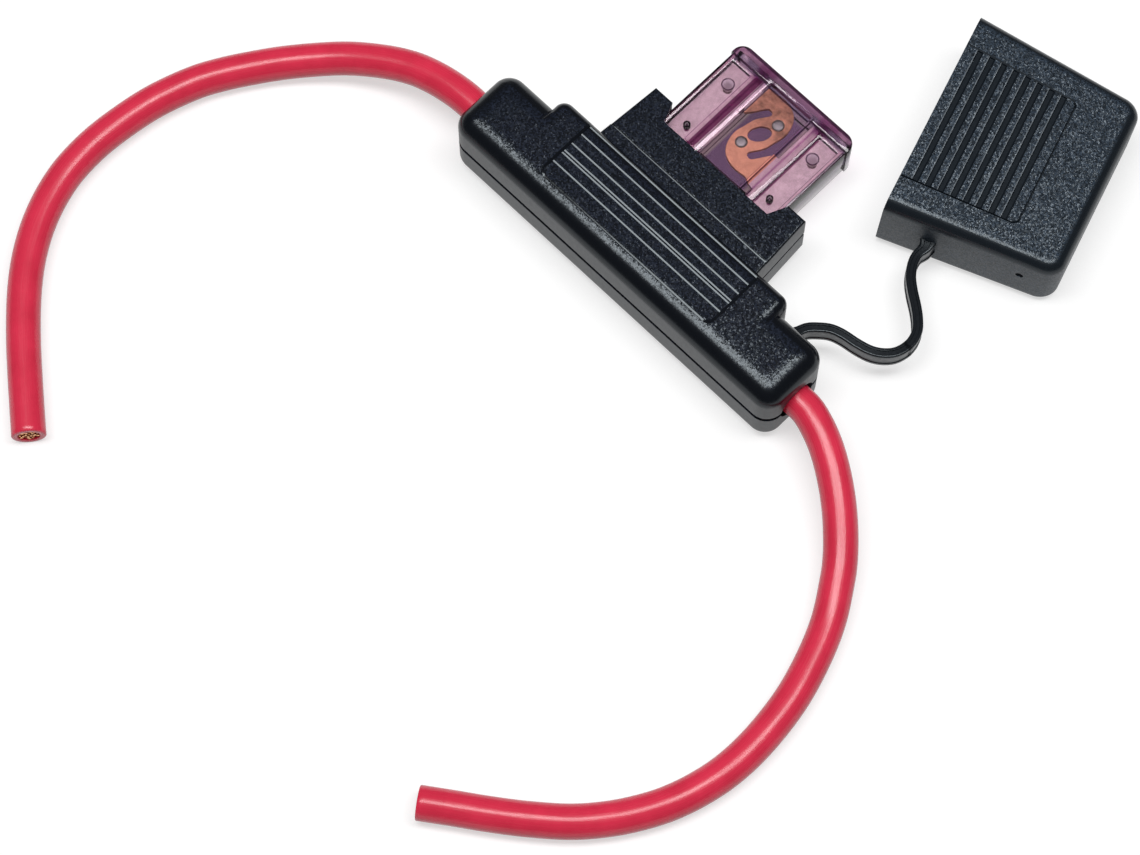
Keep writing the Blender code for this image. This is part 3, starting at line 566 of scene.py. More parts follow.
def jacket(name, line):
    """A circle of the wire's radius carried along the line, its far rim eased and its cut end
    hollowed round the strands. The UV map run goes round the wire and, in cm, along it."""
    d, u, v = along(line)
    n, sides = len(line), 56
    turn = np.arange(sides + 1) * 2 * np.pi / sides
    # past the run: (shift along it, radius) of the eased rim, the hollow's wall and its floor
    tail = np.array([(-0.12, WIRE_R), (0.0, WIRE_R - 0.10), (0.06, WIRE_R - 0.22), (0.06, JACKET_R + 0.10),
                     (0.0, JACKET_R), (-CUT_DEEP, JACKET_R - 0.02)])
    base = np.concatenate([np.arange(n - 1), np.full(len(tail), n - 1)])
    shift = np.concatenate([np.zeros(n - 1), tail[:, 0]])[:, None, None]
    radius = np.concatenate([np.full(n - 1, WIRE_R), tail[:, 1]])[:, None, None]
    ring = np.cos(turn)[:, None] * u[base][:, None] + np.sin(turn)[:, None] * v[base][:, None]
    pts = line[base][:, None] + shift * d[base][:, None] + radius * ring
    rows = len(base)
    flat = np.vstack([pts.reshape(-1, 3), line[0], line[-1] - d[-1] * CUT_DEEP])
    first, last, k = len(flat) - 2, (rows - 1) * (sides + 1), np.arange(sides)
    lids = np.concatenate([np.stack([np.full(sides, first), k, k + 1], -1),
                           np.stack([np.full(sides, first + 1), last + k + 1, last + k], -1)])
    mesh = bpy.data.meshes.new(name)
    mesh.from_pydata((flat * MM).tolist(), [], quads(rows, sides + 1)[:, ::-1].tolist() + lids.tolist())
    run = run_of(line) / 10.0
    table = np.stack([np.tile(turn / (2 * np.pi), rows), np.repeat(run[base], sides + 1)], -1)
    table = np.vstack([table, [[0.5, 0.0], [0.5, run[-1]]]])
    corner = np.empty(len(mesh.loops), np.int32)
    mesh.loops.foreach_get("vertex_index", corner)
    mesh.uv_layers.new(name="run").data.foreach_set("uv", table[corner].astype(np.float32).ravel())
    clean_mesh(mesh)
    return shade(new_object(name, mesh), 40)


def cut_strands(name, line):
    """Strands at the lead's cut end: small circles packed in rings, each carried along a slow helix
    about the line, and each ending at its own depth."""
    d, u, v = along(line)
    run = run_of(line)
    u_end, v_end, out = u[-4], v[-4], d[-1]
    spots = np.array([(r, 2 * np.pi * k / m + 0.3 * r) for r, m in STRAND_RINGS for k in range(m)])
    ends = -0.28 + 0.22 * np.sin(spots[:, 1] * 5.0 + spots[:, 0] * 9.0)
    back = -STRAND_LONG + np.linspace(0, 1, 13)[None, :] * (ends[:, None] + STRAND_LONG)
    twist = spots[:, 1:] + 0.16 * back
    reach = np.clip(run[-1] + back, 0, run[-1])
    centre = np.stack([np.interp(reach, run, line[:, k]) for k in range(3)], -1)
    centre = centre + np.maximum(run[-1] + back - reach, 0)[..., None] * out
    swing = np.cos(twist)[..., None] * u_end + np.sin(twist)[..., None] * v_end
    centre = centre + spots[:, :1, None] * swing
    m = 8
    a = (np.arange(m) * 2 * np.pi / m)[:, None]
    body = centre[:, :, None, :] + STRAND_R * (np.cos(a) * u_end + np.sin(a) * v_end)
    count, rows = body.shape[:2]
    first = np.arange(count) * rows * m
    faces = (quads(rows, m, True)[None] + first[:, None, None]).reshape(-1, 4)
    lids = [range(s, s + m) for s in first] + [range(s + (rows - 1) * m, s + rows * m) for s in first]
    return shade(solid(name, body, faces, lids), 50)


def lead(word, side, route):
    """Red wire from inside the bar to its cut end, with its strands."""
    line = smooth_line([(side * (WIRE_IN + step), 0, ZC) for step in (0.0, 4.2, 8.4)] + route, 1.0)
    wire = jacket(f"lead_{word}_jacket", line)
    finish_piece(wire, red_jacket, "housing", [f"lead_{word}"])
    strands = cut_strands(f"strands_{word}_jacket", line)
    finish_piece(strands, copper_strand, "housing", ())


lead("left", -1, LEFT_ROUTE)
lead("right", 1, RIGHT_ROUTE)


# Housing

FRONT_ROUND = 4.7                        # width of the bar's rounding on the front; its height is BAR_R
SH_X, SH_Y, SH_R = 28.95, 10.4, 2.2      # half length, edge and corner of the shoulder
PANEL_X, PANEL_Y, PANEL_R = 21.7, -3.9, 1.8
BORDER = np.array([0.0, 0.07, 0.14, 0.50, 0.56])     # stations across the groove round the panel
BORDER_DEPTH = (0.0, 0.20, 0.20, 0.155, 0.0)
RIDGES = (-0.3, 2.0, 2.6, 4.55, 7.05, 9.3)
RIDGE_RUN, RIDGE_SLOPE = 0.27, 0.277                 # width of a ridge's bright slope, its tangent
FLOOR_DEEP = 0.10


def bar_outline(x):
    """Lower and upper edge of the bar with its shoulder, at each x."""
    half = rounded_edge(x, BAR_L, BAR_W, BAR_R)
    top = np.where(np.abs(x) <= SH_X, rounded_edge(x, SH_X, SH_Y, SH_R), half)
    return -half, np.maximum(top, half)


def panel_inside(x, y):
    """Distance inwards from the border of the rib panel, which runs out past the shoulder."""
    return rounded_inside(x, y, -PANEL_X, PANEL_X, PANEL_Y, SH_Y + 30, PANEL_R)


def rib_panel(x, y):
    """Depth of the rib panel below the face. Its border drops steeply and comes back up on a gentle
    slope, with rounded lower corners. Inside, the floor falls slowly along +Y and comes back up at
    each ridge on one short slope, as saw teeth do."""
    d = panel_inside(x, y)
    groove = np.interp(d, BORDER, BORDER_DEPTH) * np.clip((PANEL_X - np.abs(x)) / 1.5, 0.35, 1)
    fall = np.zeros_like(x)
    half = RIDGE_RUN / 2
    for start, c in zip((PANEL_Y + 0.6, *RIDGES), RIDGES):
        # the shoulder's round edge is made up for, so that every ridge has the same slope
        rise = RIDGE_SLOPE * RIDGE_RUN + edge_drop(SH_Y - c - half, SH_R) - edge_drop(SH_Y - c + half, SH_R)
        t = np.clip((y - start - half) / (c - start - 2 * half), 0, 1)
        back = np.clip((y - c + half) / RIDGE_RUN, 0, 1)
        fall = np.where((y < c + half) & (y > start + half), rise * (t - back), fall)
    return groove + (FLOOR_DEEP + fall) * np.clip((d - 0.50) / 0.06, 0, 1)


def bar_skin(name, sign):
    """Half of the bar: its face lies H / 2 from the parting plane, less the round edge of bar or
    shoulder, whichever is higher there; on the front it also drops by the rib panel."""
    border = np.append(-0.03, BORDER)
    x_right = stations(
        np.linspace(0, PANEL_X - 2.2, 14), round_off(PANEL_X - 0.16, 1.64, 12, 1.3), [SH_X + 0.02],
        PANEL_X - np.append(border, 0.32), np.linspace(22.4, 26.6, 6), round_off(SH_X, SH_R, 11),
        np.linspace(SH_X + 0.3, BAR_L - BAR_R - 0.2, 14), round_off(BAR_L, BAR_R, 15), digits=5)
    xs = both_sides(x_right)
    ridge_rows = [y + RIDGE_RUN * np.array([-0.56, -0.5, 0.0, 0.5, 0.56]) for y in RIDGES]
    rows = np.concatenate([-BAR_W + fan(0, FRONT_ROUND, 18), PANEL_Y + np.append(border, 0.32), *ridge_rows,
                           np.linspace(PANEL_Y + 0.6, RIDGES[0] - 0.9, 5), round_off(SH_Y, SH_R, 13)])
    rows = stations(np.clip(rows, -BAR_W, SH_Y))
    t = (rows + BAR_W) / (SH_Y + BAR_W)
    x = np.broadcast_to(xs, (len(t), len(xs)))
    lo, hi = bar_outline(xs)
    y = lo + t[:, None] * (hi - lo)
    d_bar = rounded_inside(x, y, -BAR_L, BAR_L, -BAR_W, BAR_W, BAR_R)
    d_sh = rounded_inside(x, y, -SH_X, SH_X, -4.0, SH_Y, SH_R)
    wide = FRONT_ROUND if sign > 0 else BAR_R
    outside = 99.0
    drop = np.minimum(np.where(d_bar > -1e-4, edge_drop(np.maximum(d_bar, 0), BAR_R, wide), outside),
                      np.where(d_sh > -1e-4, edge_drop(np.maximum(d_sh, 0), SH_R), outside))
    level = H - ZC - np.where(drop == outside, BAR_R, drop)
    if sign > 0:
        level = level - rib_panel(x, y)
    # the parting edge is set back, so that a dark line shows between the shells
    part = FIT / 2 + 0.44 * (np.maximum(d_bar, d_sh) < 0.42)
    return two_skins(name, x, y, ZC + sign * level, ZC + sign * part)


def lead_bores():
    """Round ways for the leads, a little wider at the very end."""
    way = np.array([(16.0, 3.5), (BAR_L - 1.3, 3.5), (BAR_L - 1.2, 4.0), (BAR_L - 0.1, 4.1),
                    (BAR_L + 1, 4.3)])
    return [turned("bore", "x", (0.0, ZC), way * (s, 1)) for s in (-1, 1)]


NECK_Y, NECK_X, NECK_DRAFT, NECK_T, NECK_R = 24.6, 19.1, 0.068, 11.6, 0.45
FOOT_Y = (13.3, 13.42, 13.78)            # step at the neck's foot and the small slope above it


def neck_half(name, sign):
    """Half of the neck: a wedge-sided plate, thicker at its foot, its edges rounded, with the fuse's
    pocket and, in the front and the rear wall, a notch with slanted sides."""
    ys = stations(np.linspace(3.0, 12.6, 8), [13.18, *FOOT_Y], np.linspace(14, NECK_Y - 0.6, 8),
                  round_off(NECK_Y, NECK_R, 7))
    edge = fan(0, 0.024, 6)
    tx = np.concatenate([-1 + edge, np.linspace(-0.95, 0.95, 21), 1 - edge[::-1]])
    w = (NECK_X + NECK_DRAFT * (NECK_Y - ys))[:, None]
    x = w * tx
    y = np.broadcast_to(ys[:, None], x.shape)
    d = np.minimum(w - np.abs(x), NECK_Y - y)
    level = NECK_T / 2 + np.interp(y, FOOT_Y, [0.3, -0.1, 0.0]) - edge_drop(d, NECK_R)
    part = FIT / 2 + 0.2 * (d < 0.25)
    obj = two_skins(name, x, y, ZC + sign * level, ZC + sign * part)
    pocket = box_solid("pocket", -14.95, 14.95, 18.5, NECK_Y + 2, *sorted((ZC - sign, ZC + sign * 4.75)))
    notch = prism("notch", [(-13.1, 20.6), (13.1, 20.6), (15.4, 25.9), (-15.4, 25.9)],
                  *sorted((ZC + sign * 3.0, ZC + sign * 8.0)))
    return cut(obj, [pocket, notch])


def face_middles(mesh):
    """Unit normals of the faces, and their middles in mm."""
    both = []
    for what in ("normal", "center"):
        flat = np.empty(len(mesh.polygons) * 3, np.float32)
        mesh.polygons.foreach_get(what, flat)
        both.append(flat.reshape(-1, 3).astype(float))
    return both[0], both[1] / MM


def surface_finish(obj, low, high, sides, rough, smooth=None, painted_sheen=None):
    """Spark texture on the faces that look up or down, and the share sides of it on the walls. It grows as a
    face's normal goes from low to high. rough is the roughness of texture, wall and polished spots; smooth(x,
    y) is 1 where the mould was polished. The last function gives, on faces that look up, the share of painted
    sheen, a painted highlight; without it the walls get a tenth of it, a painted lighter tone."""
    mesh = obj.data
    normal, c = face_middles(mesh)
    up = np.clip((np.abs(normal[:, 2]) - low) / (high - low), 0, 1)
    shiny = smooth(c[:, 0], c[:, 1]) * (normal[:, 2] > 0.5) if smooth else np.zeros(len(c))
    wall = np.clip(1 - np.abs(normal[:, 2]) / 0.35, 0, 1)
    grain = np.maximum(up, sides * wall) * (1 - shiny)
    finish = (rough[0] * (1 - wall) + rough[1] * wall) * (1 - shiny) + rough[2] * shiny
    # painted sheen: a painted highlight where the last function says, or else a painted lighter tone on the
    # walls
    sheen_paint = painted_sheen(c[:, 0], c[:, 1]) * (normal[:, 2] > 0.9) if painted_sheen else 0.10 * wall
    for name, value in (("grain", grain), ("finish", finish), ("painted_sheen", sheen_paint)):
        mesh.attributes.new(name, "FLOAT", "FACE").data.foreach_set("value", value.astype(np.float32))


def nearest(y, lines):
    """Distance of each y from the nearest of the lines."""
    return np.min(np.abs(y[:, None] - np.asarray(lines)), axis=1)


def neck_line(x, y):
    """1 on the little slope above the foot of the neck."""
    return np.where((y > 13.4) & (y < 13.8), 1.0, 0.0)


def polished_ridges(x, y):
    """1 on the sloping ridge faces and on the border of the rib panel."""
    d = panel_inside(x, y)
    near = nearest(y, RIDGES) < RIDGE_RUN * 0.52
    return np.where((near & (d > 0.5)) | ((d > 0) & (d < 0.56)), 1.0, 0.0)


SHELL_FINISH = (0.91, 0.992, 0.0, (0.22, 0.40, 0.11))
for word, sign in (("front", 1), ("rear", -1)):
    half = cut(bar_skin(f"housing_{word}_shell", sign), lead_bores())
    shade(half, 12)
    surface_finish(half, *SHELL_FINISH, polished_ridges if sign > 0 else None)
    finish_piece(half, black_shell, "housing", [f"housing_{word}"])
    throat = shade(neck_half(f"housing_{word}_neck", sign), 30)
    surface_finish(throat, *SHELL_FINISH, neck_line)
    finish_piece(throat, black_shell, "housing", ())


# Cap, worked out with its mouth at y = 0 and its middle at z = 0, then laid in its place

CAP_D = 34.4                             # depth, mouth to closed end
CAP_X0, CAP_X1 = 21.8, 19.2              # half width at the mouth and at the closed end
CAP_T0, CAP_T1 = 8.5, 7.3                # half thickness there
CAP_EDGE, CAP_CORNER = 2.7, 3.6
CAP_STRAIGHT = 24.0                      # rows up to here stay straight
GRIP_X, GRIP_D, GRIP_R = 15.0, 23.2, 1.5
GROOVES = 2.9 + 2.5 * np.arange(8)
GROOVE = np.array([-0.62, -0.46, 0.30, 0.62])
GROOVE_DEPTH = (0.0, 0.46, 0.30, 0.0)
TRIM = np.array([0.0, 0.10, 0.20, 0.36])             # stations across the line round the grip
TRIM_DEPTH = (0.0, 0.34, 0.34, 0.0)
LEAN = math.atan2(CAP_T0 - CAP_T1, CAP_D)
CAP_FRAME = (Matrix.Translation(Vector((20.6, 56.7, CAP_T0 * math.cos(LEAN))) * MM)
             @ Matrix.Rotation(math.radians(-71.8), 4, "Z") @ Matrix.Rotation(-LEAN, 4, "X"))


def taper(at_mouth, at_end, y):
    """Share of the mouth's size that the cap has left at depth y."""
    return 1 - (at_mouth - at_end) / at_mouth * y / CAP_D


def grip_inside(x, y):
    """Distance inwards from the line round the grip, which has no line at the mouth."""
    return rounded_inside(x, y, -GRIP_X, GRIP_X, -9.0, GRIP_D, GRIP_R)


def grip_depth(x, y):
    """Depth of the grip: a V line round it on two sides, and eight lopsided grooves, each with a
    steep wall on the open side and a long slope on the closed side."""
    d = grip_inside(x, y)
    line = np.interp(d, TRIM, TRIM_DEPTH) * (x > -GRIP_X + 0.5)
    groove = np.zeros_like(x)
    for c in GROOVES:
        groove = np.maximum(groove, np.interp(y, c + GROOVE, GROOVE_DEPTH))
    return line + np.clip((d - TRIM[-1]) / 0.12, 0, 1) * groove


def polished_grooves(x, y):
    """Nearly 1 in the grooves of the grip and in the line round it."""
    d = grip_inside(x / taper(CAP_X0, CAP_X1, y), y)
    near = nearest(y, GROOVES) < GROOVE[-1]
    return np.where((near & (d > TRIM[-1])) | ((d > 0) & (d < TRIM[-1])), 0.95, 0.0)


def lip_highlights(x, y):
    """0.8 on the thin lip in front of each groove's steep wall, where a highlight is painted."""
    near = nearest(y, GROOVES - 0.71) < 0.09
    return np.where(near & (np.abs(x / taper(CAP_X0, CAP_X1, y)) < GRIP_X - TRIM[-1]), 0.8, 0.0)


def cap_hollow():
    """Inside of the cap: a rounded rectangle that narrows with the draft, its floor's edge eased."""
    wide = (CAP_X0 - 1.34, CAP_X1 - 1.5)
    tall = (CAP_T0 - 1.9, CAP_T1 - 1.85)
    n = 6
    turn = np.concatenate([np.linspace(0, np.pi / 2, n) + k * np.pi / 2 for k in range(4)])
    sx, sz = np.repeat([1, -1, -1, 1], n), np.repeat([1, 1, -1, -1], n)
    rows = []
    floor = ((CAP_D - 2.4, 0, 0.8), (CAP_D - 1.7, 0.25, 0.9), (CAP_D - 1.4, 1.0, 0.9))
    for y, shrink, r in ((-1.0, 0, 0.8), *floor):
        f = (y + 1.0) / (CAP_D - 0.4)
        half_x, half_z = (a + (b - a) * f - shrink - r for a, b in (wide, tall))
        x, z = sx * half_x + r * np.cos(turn), sz * half_z + r * np.sin(turn)
        rows.append(np.stack([x, np.full(4 * n, y), z], -1))
    return tube("hollow", rows)


def cap_solid():
    """Drafted box, open at y = 0: two height fields on one plan with rounded closed corners and
    round edges, less the hollow and a small mould mark on the strap's side."""
    trim = np.append(np.append(-0.03, TRIM), 0.48)
    xs = both_sides(stations(
        np.linspace(0, GRIP_X - 1.8, 8), round_off(GRIP_X, GRIP_R, 8, 1.1), GRIP_X - trim, [16.2, 17.4],
        round_off(CAP_X0, CAP_CORNER, 13), round_off(CAP_X0, CAP_EDGE, 11)))
    groove_rows = [c + np.append([-0.80, 0.0], GROOVE) for c in GROOVES]
    ys = stations([0.0, 0.35, 0.8], *groove_rows, round_off(GRIP_D, GRIP_R, 8, 1.1), GRIP_D - trim,
                  [24.5, 27, 29.5], round_off(CAP_D, CAP_CORNER, 15))
    end = rounded_edge(xs, CAP_X0, CAP_D, CAP_CORNER)
    late = np.clip((ys - CAP_STRAIGHT) / (CAP_D - CAP_STRAIGHT), 0, 1)[:, None]
    x = np.broadcast_to(xs, (len(ys), len(xs)))
    y = np.where(ys[:, None] <= CAP_STRAIGHT, ys[:, None], CAP_STRAIGHT + late * (end - CAP_STRAIGHT))
    top = CAP_T0 - edge_drop(rounded_inside(x, y, -CAP_X0, CAP_X0, -40.0, CAP_D, CAP_CORNER), CAP_EDGE)
    thin = taper(CAP_T0, CAP_T1, y)
    obj = two_skins("cap_box", x * taper(CAP_X0, CAP_X1, y), y, (top - grip_depth(x, y)) * thin, -top * thin)
    dint = [(CAP_X0 - 2.85, 0.4), (CAP_X0 - 2.35, 0.75), (CAP_X0 + 1, 0.95)]
    shade(cut(obj, [cap_hollow(), turned("mark", "x", (27.3, 1.2), dint, 20)]), 30)
    surface_finish(obj, 0.93, 0.985, 0.7, (0.27, 0.46, 0.30), polished_grooves, lip_highlights)
    obj.data.transform(CAP_FRAME)
    return obj


finish_piece(cap_solid(), black_cap, "cap", ["cap"])


# Strap

STRAP_T, STRAP_H = 1.95, 4.2
STRAP_ROUTE = [(32.0, 9.025), (32.7, 10.95), (34.2, 12.6), (35.9, 13.95), (38.1, 14.75), (41.1, 15.3),
               (43.8, 16.1), (45.9, 17.5), (47.35, 19.5), (47.85, 22.3), (47.1, 25.0), (45.4, 27.0),
               (43.5, 28.6), (41.0, 30.4), (38.9, 32.2), (37.35, 34.3), (36.6, 36.4)]
STRAP_ROOT = (31.7, 7.4)                 # inside the bar's wall
STRAP_END = (36.6922, 38.4603, 8.1603)   # at the cap's wall
ROOT_FLARE, CAP_FLARE = 2.6, 3.6         # lengths over which it widens at its ends


def strap_run():
    """The strap's middle line from inside the bar's wall to inside the cap's wall."""
    cap_in = CAP_FRAME @ (Vector((CAP_X0 - 0.75 - 0.7, 9.5, 0)) * MM) / MM
    line = smooth_line([(x, y, 0.0) for x, y in (STRAP_ROOT, *STRAP_ROUTE, STRAP_END[:2], cap_in[:2])], 0.7)
    run = run_of(line)
    line[:, 2] = ZC + (STRAP_END[2] - 1.6 - ZC) * run / run[-1]
    return line, run


def strap_section():
    """Upright section: a bead at top and bottom, a slightly narrower web between, and a shallow
    channel along each long edge."""
    a, e, bead = STRAP_T / 2, STRAP_H / 2, 0.34
    q = np.linspace(0, np.pi / 2, 6)
    quarter = np.stack([a - bead + bead * np.cos(q), e - bead + bead * np.sin(q)], -1)
    half = np.vstack([[(a - 0.16, 0.0), (a - 0.16, e - 1.05), (a, e - 0.85)], quarter,
                      [(a - 0.58, e - 0.02), (a - 0.66, e - 0.26)]])
    top = np.vstack([half, half[::-1] * [-1, 1]])
    return np.vstack([top, top[1:-1][::-1] * [1, -1]])


def strap_part(name, first, last):
    """The section carried along the share first to last of the line; near both ends of the strap it
    flares into its root."""
    line, run = strap_run()
    side = along(line * np.array([1, 1, 0]))[1]
    near_bar = np.clip(1 - run / ROOT_FLARE, 0, 1) ** 2
    near_cap = np.clip(1 - (run[-1] - run) / CAP_FLARE, 0, 1) ** 1.5
    wide = 1 + 0.75 * near_bar + 0.95 * near_cap
    tall = 1 + 0.22 * near_bar + 0.2 * near_cap
    sec = strap_section()
    n = len(line) - 1
    rows = slice(int(first * n), int(round(last * n)) + 1)
    pts = line[rows, None] + (sec[:, 0] * wide[rows, None])[..., None] * side[rows, None]
    pts[..., 2] += sec[:, 1] * tall[rows, None]
    obj = shade(tube(name, pts), 35)
    surface_finish(obj, 2.0, 3.0, 0.4, (0.24, 0.30, 0.24))
    obj.data.materials.append(black_strap)
    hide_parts("cap_strap")
    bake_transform(obj)


strap_part("strap_root_half", 0.0, 0.5)
strap_part("strap_cap_half", 0.5, 1.0)


# Fuse

BLADE_C, BLADE_W, SHEET = 10.2, 3.6, 0.8             # middle and half width of a blade, stock
BLADE_TIP, ELEMENT_TOP = 8.9, 41.0
LINK = (-0.3, 33.0)                                  # middle of the link
PELLET_X, PELLET_Y = 1.3, 3.6                        # pellets from there
LINK_HALF = ((5.0, -1.2), (4.3, -2.0), (2.57, -4.64), (2.1, -4.9), (1.46, -4.87), (1.05, -4.4), (1.23, -3.76),
             (2.6, -1.6), (3.2, 0.8), (3.6, 3.2), (2.9, 5.9), (1.4, 7.5), (-1.0, 8.3), (-4.0, 8.1))


def arc(cx, cy, r, a0, a1, n):
    t = np.radians(np.linspace(a0, a1, n))
    return np.stack([cx + r * np.cos(t), cy + r * np.sin(t)], -1)


def rounded_rect(x0, x1, y0, y1, r, n):
    return np.vstack([arc(x1 - r, y1 - r, r, 0, 90, n), arc(x0 + r, y1 - r, r, 90, 180, n),
                      arc(x0 + r, y0 + r, r, 180, 270, n), arc(x1 - r, y0 + r, r, 270, 360, n)])


def eased_block(name, outline, thick, r):
    """Outline carried through the fuse's thickness, its two rims rounded by drawing the outline in
    towards its middle."""
    uv = np.asarray(outline, float)
    mid = uv.mean(0)
    span = np.abs(uv - mid).max(0)
    z0, z1 = ZC - thick / 2, ZC + thick / 2
    steps = ((r, z0), (0.3 * r, z0 + 0.3 * r), (0, z0 + r), (0, z1 - r), (0.3 * r, z1 - 0.3 * r), (r, z1))
    return tube(name, [at_height(mid + (uv - mid) * (span - inset) / span, z) for inset, z in steps])


def pin(x, y, r, half, sides=28):
    """Round tool square to the fuse's face, from half below its middle to half above."""
    return turned("pin", "z", (x, y), [(ZC - half, r), (ZC + half, r)], sides)


def sunk(name, x0, x1, top, r, f, deep, slope):
    """Tool for a recess of the front (f = 1) or rear face of the fuse, open at its lower end: a
    rounded rectangle at its floor that widens by slope on the way up, then by 0.55 mm in the last
    0.16 mm under the face."""
    face, bottom = FUSE_T / 2, FUSE_BOTTOM - 1
    lip_deep, full = 0.16, slope + 0.55
    rows = []
    for z, grow in ((face - deep, 0.0), (face - lip_deep, slope), (face, full), (face + 2, full)):
        ring = rounded_rect(x0 - grow, x1 + grow, bottom - grow, top + grow * 0.6, r + grow * 0.3, 4)
        rows.append(at_height(ring, ZC + f * z))
    return tube(name, rows)


def fuse_case():
    """Clear body: block and thicker rim joined, with the sunk panels, window, blade rooms, link
    room, posts and test holes."""
    block = rounded_rect(-FUSE_X, FUSE_X, FUSE_BOTTOM, RIM_Y + 0.9, 0.35, 4)
    body = eased_block("fuse_case", block, FUSE_T, 0.25)
    r = 2.4
    rim = [(-RIM_X, RIM_Y), (RIM_X, RIM_Y), *arc(RIM_X - r, FUSE_TOP - r, r, 0, 90, 9),
           *arc(-RIM_X + r, FUSE_TOP - r, r, 90, 180, 9)]
    cut(body, [eased_block("rim", rim, RIM_T, 0.3)], "UNION")
    inner, outer = BLADE_C - BLADE_W - 0.15, BLADE_C + BLADE_W + 0.15
    low, high = FUSE_BOTTOM - 1, ELEMENT_TOP + 1.1
    tools = []
    for s in (-1, 1):
        for a, b, z in ((inner, 8.9, 0.7), (8.8, outer, 1.5)):
            tools.append(box_solid("blade_room", *sorted((s * a, s * b)), low, high, ZC - z, ZC + z))
        pane = sorted((s * PANE_IN, s * PANE_OUT))
        for f in (-1, 1):
            tools.append(sunk("panel", *pane, PANE_TOP, 0.3, f, PANE_DEEP, 0.12))
    for f, half in ((-1, REAR_WINDOW_X), (1, WINDOW_X)):
        tools.append(sunk("window", -half, half, WINDOW_TOP, 0.4, f, WINDOW_DEEP, 0.35))
    tools.append(box_solid("link_room", -8.9, 8.9, 22.2, high, ZC - 1.6, ZC + 1.6))
    cut(body, tools)
    cut(body, [pin(s * POST[0], POST[1], 0.8, 1.9) for s in (-1, 1)], "UNION")
    cut(body, [pin(s * STAKE[0], STAKE[1], 0.42, 6, 24) for s in (-1, 1)])
    bm = bmesh.new()
    bm.from_mesh(body.data)
    bmesh.ops.remove_doubles(bm, verts=bm.verts, dist=2e-5)
    bmesh.ops.dissolve_limit(bm, angle_limit=math.radians(1), verts=bm.verts, edges=bm.edges)
    bm.to_mesh(body.data)
    bm.free()
    return shade(body, 35)


def element_outline():
    """Outline of the stamping: two blades with a curved S link, mirrored through its middle."""
    half = np.array(LINK_HALF)
    fine = np.vstack([half[:1], smooth_line(half[1:], 0.45)])
    middle, cy = np.array(LINK), LINK[1]
    bi, bo, tip = BLADE_C - BLADE_W, BLADE_C + BLADE_W, BLADE_TIP
    near = bi - 0.7                      # a blade is wider beside the link
    left = [(-bo, ELEMENT_TOP), (-bo, tip + 1.2), (-bo + 0.9, tip), (-bi - 0.9, tip), (-bi, tip + 1.2),
            (-bi, 23.6), (-near, 24.4), (-near, cy + 1.2)]
    right = [(bi, 24.0), (bi, tip + 1.2), (bi + 0.9, tip), (bo - 0.9, tip), (bo, tip + 1.2),
             (bo, ELEMENT_TOP), (near, ELEMENT_TOP), (near, cy - 1.2)]
    return np.vstack([left, middle - fine, right, middle + fine, [(-bi, ELEMENT_TOP)]])


def fuse_stamping():
    """The link with its oval hole, pellet holes and post holes, edges eased."""
    obj = prism("fuse_link", element_outline(), ZC - SHEET / 2, ZC + SHEET / 2)
    cx, cy = LINK
    tilt, long_r, short_r = math.radians(56.5), 2.3, 1.5
    a = np.linspace(0, 2 * np.pi, 40, endpoint=False)
    oval = np.stack([cx + long_r * np.cos(a) * math.cos(tilt) - short_r * np.sin(a) * math.sin(tilt),
                     cy + long_r * np.cos(a) * math.sin(tilt) + short_r * np.sin(a) * math.cos(tilt)], -1)
    tools = [prism("oval", oval, ZC - 2, ZC + 2)]
    for s in (-1, 1):
        tools += [pin(cx + s * PELLET_X, cy + s * PELLET_Y, 1.0, 2), pin(s * POST[0], POST[1], 0.9, 2)]
    cut(obj, tools)
    ease = obj.modifiers.new("ease", "BEVEL")
    ease.width, ease.segments, ease.limit_method, ease.angle_limit = 0.07 * MM, 2, "ANGLE", math.radians(40)
    return shade(obj, 35)


def pellet(name, s):
    """A flattened tin drop: a squashed dome above and below the link."""
    a = np.linspace(0, np.pi / 2, 7)
    dome = np.stack([0.42 + 0.42 * np.cos(a), 0.22 + 0.98 * np.sin(a) ** 0.7], -1)
    profile = np.vstack([dome * [-1, 1], [(-0.42, 0.95), (0.42, 0.95)], dome[::-1]])
    profile[:, 0] += ZC
    return shade(turned(name, "z", (LINK[0] + s * PELLET_X, LINK[1] + s * PELLET_Y), profile, 32), 50)


finish_piece(fuse_case(), violet, "fuse", ["fuse_body"])
finish_piece(fuse_stamping(), link_metal, "fuse", ["fuse_element"])
for word, s in (("upper", 1), ("lower", -1)):
    finish_piece(pellet(f"pellet_{word}", s), dull_tin, "fuse", [f"fuse_pellet_{word}"])


# Inner metal, kept from the frame

for kind, mat in (("contact", tin_plate), ("contact_spring", spring_strip), ("wire_core", copper_strand)):
    for word in ("left", "right"):
        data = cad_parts[f"{kind}_{word}"].data
        data.materials.clear()
        data.materials.append(mat)


# Table and light


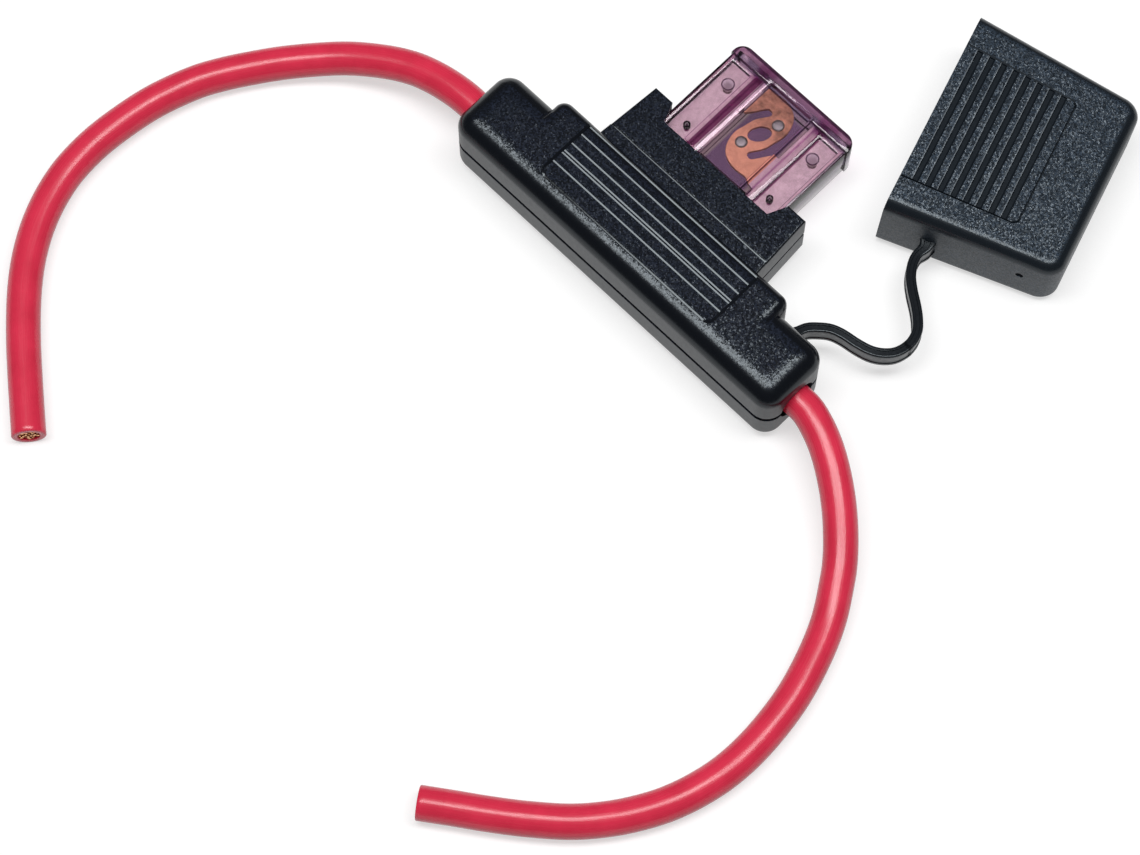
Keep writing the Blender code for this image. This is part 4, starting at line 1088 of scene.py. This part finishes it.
def table_top():
    """White table: shows white to the camera and in metal and glass, and takes a soft shadow."""
    look = Finish("white_table", (0.46, 0.46, 0.46), 0.9, Emission_Color=(1, 1, 1))
    rays = look.node("ShaderNodeLightPath").outputs
    seen = look.maths("MAXIMUM", rays["Is Camera Ray"], rays["Is Transmission Ray"])
    seen = look.maths("MAXIMUM", seen, rays["Is Glossy Ray"])
    look.set(Emission_Strength=look.maths("MULTIPLY", seen, 0.60))
    floor = box_solid("table", -3000, 3000, -3000, 3000, -6.0, 0.0)
    floor.data.materials.append(look.mat)


def room_light():
    """Soft studio: a dim room, white to the camera alone, so that rounded and clear edges show dark."""
    world = bpy.data.worlds.new("studio")
    bpy.context.scene.world = world
    world.use_nodes = True
    look = Nodes(world.node_tree)
    ramp = look.node("ShaderNodeValToRGB", Fac=look.split(look.point("Generated"))[2])
    levels = ramp.color_ramp.elements
    stops = [(0.0, 0.20), (0.15, 0.14), (0.40, 0.12), (0.80, 0.12), (0.9, 0.14), (1.0, 0.16)]
    for stop, (at, level) in zip((levels[0], levels[1]), (stops[0], stops[-1])):
        stop.position, stop.color = at, (level, level, level, 1)
    for at, level in stops[1:-1]:
        levels.new(at).color = (level, level, level, 1)
    seen = look.node("ShaderNodeLightPath").outputs["Is Camera Ray"]
    back = look.tree.nodes["Background"]
    look.feed(back.inputs["Color"], look.mix(seen, ramp.outputs["Color"], (1, 1, 1)))
    look.feed(back.inputs["Strength"], 1.0)


def softbox(at, aim, long_side, size, watts):
    """A flat lamp in metres, facing aim, its long side along the given direction."""
    data = bpy.data.lights.new("key_light", "AREA")
    data.shape = "RECTANGLE"
    data.size, data.size_y = size
    data.energy = watts
    z = (Vector(at) - Vector(aim)).normalized()
    x = Vector(long_side) - z * z.dot(Vector(long_side))
    x.normalize()
    turn = Matrix((x, z.cross(x), z)).transposed().to_4x4()
    new_object("key_light", data).matrix_world = Matrix.Translation(at) @ turn


table_top()
room_light()
softbox((0.02, -0.02, 1.20), (0.0, -0.02, 0.0), (0.71, 0.70, 0.0), (1.20, 0.34), 13.5)

bpy.context.scene.view_settings.view_transform = "Standard"
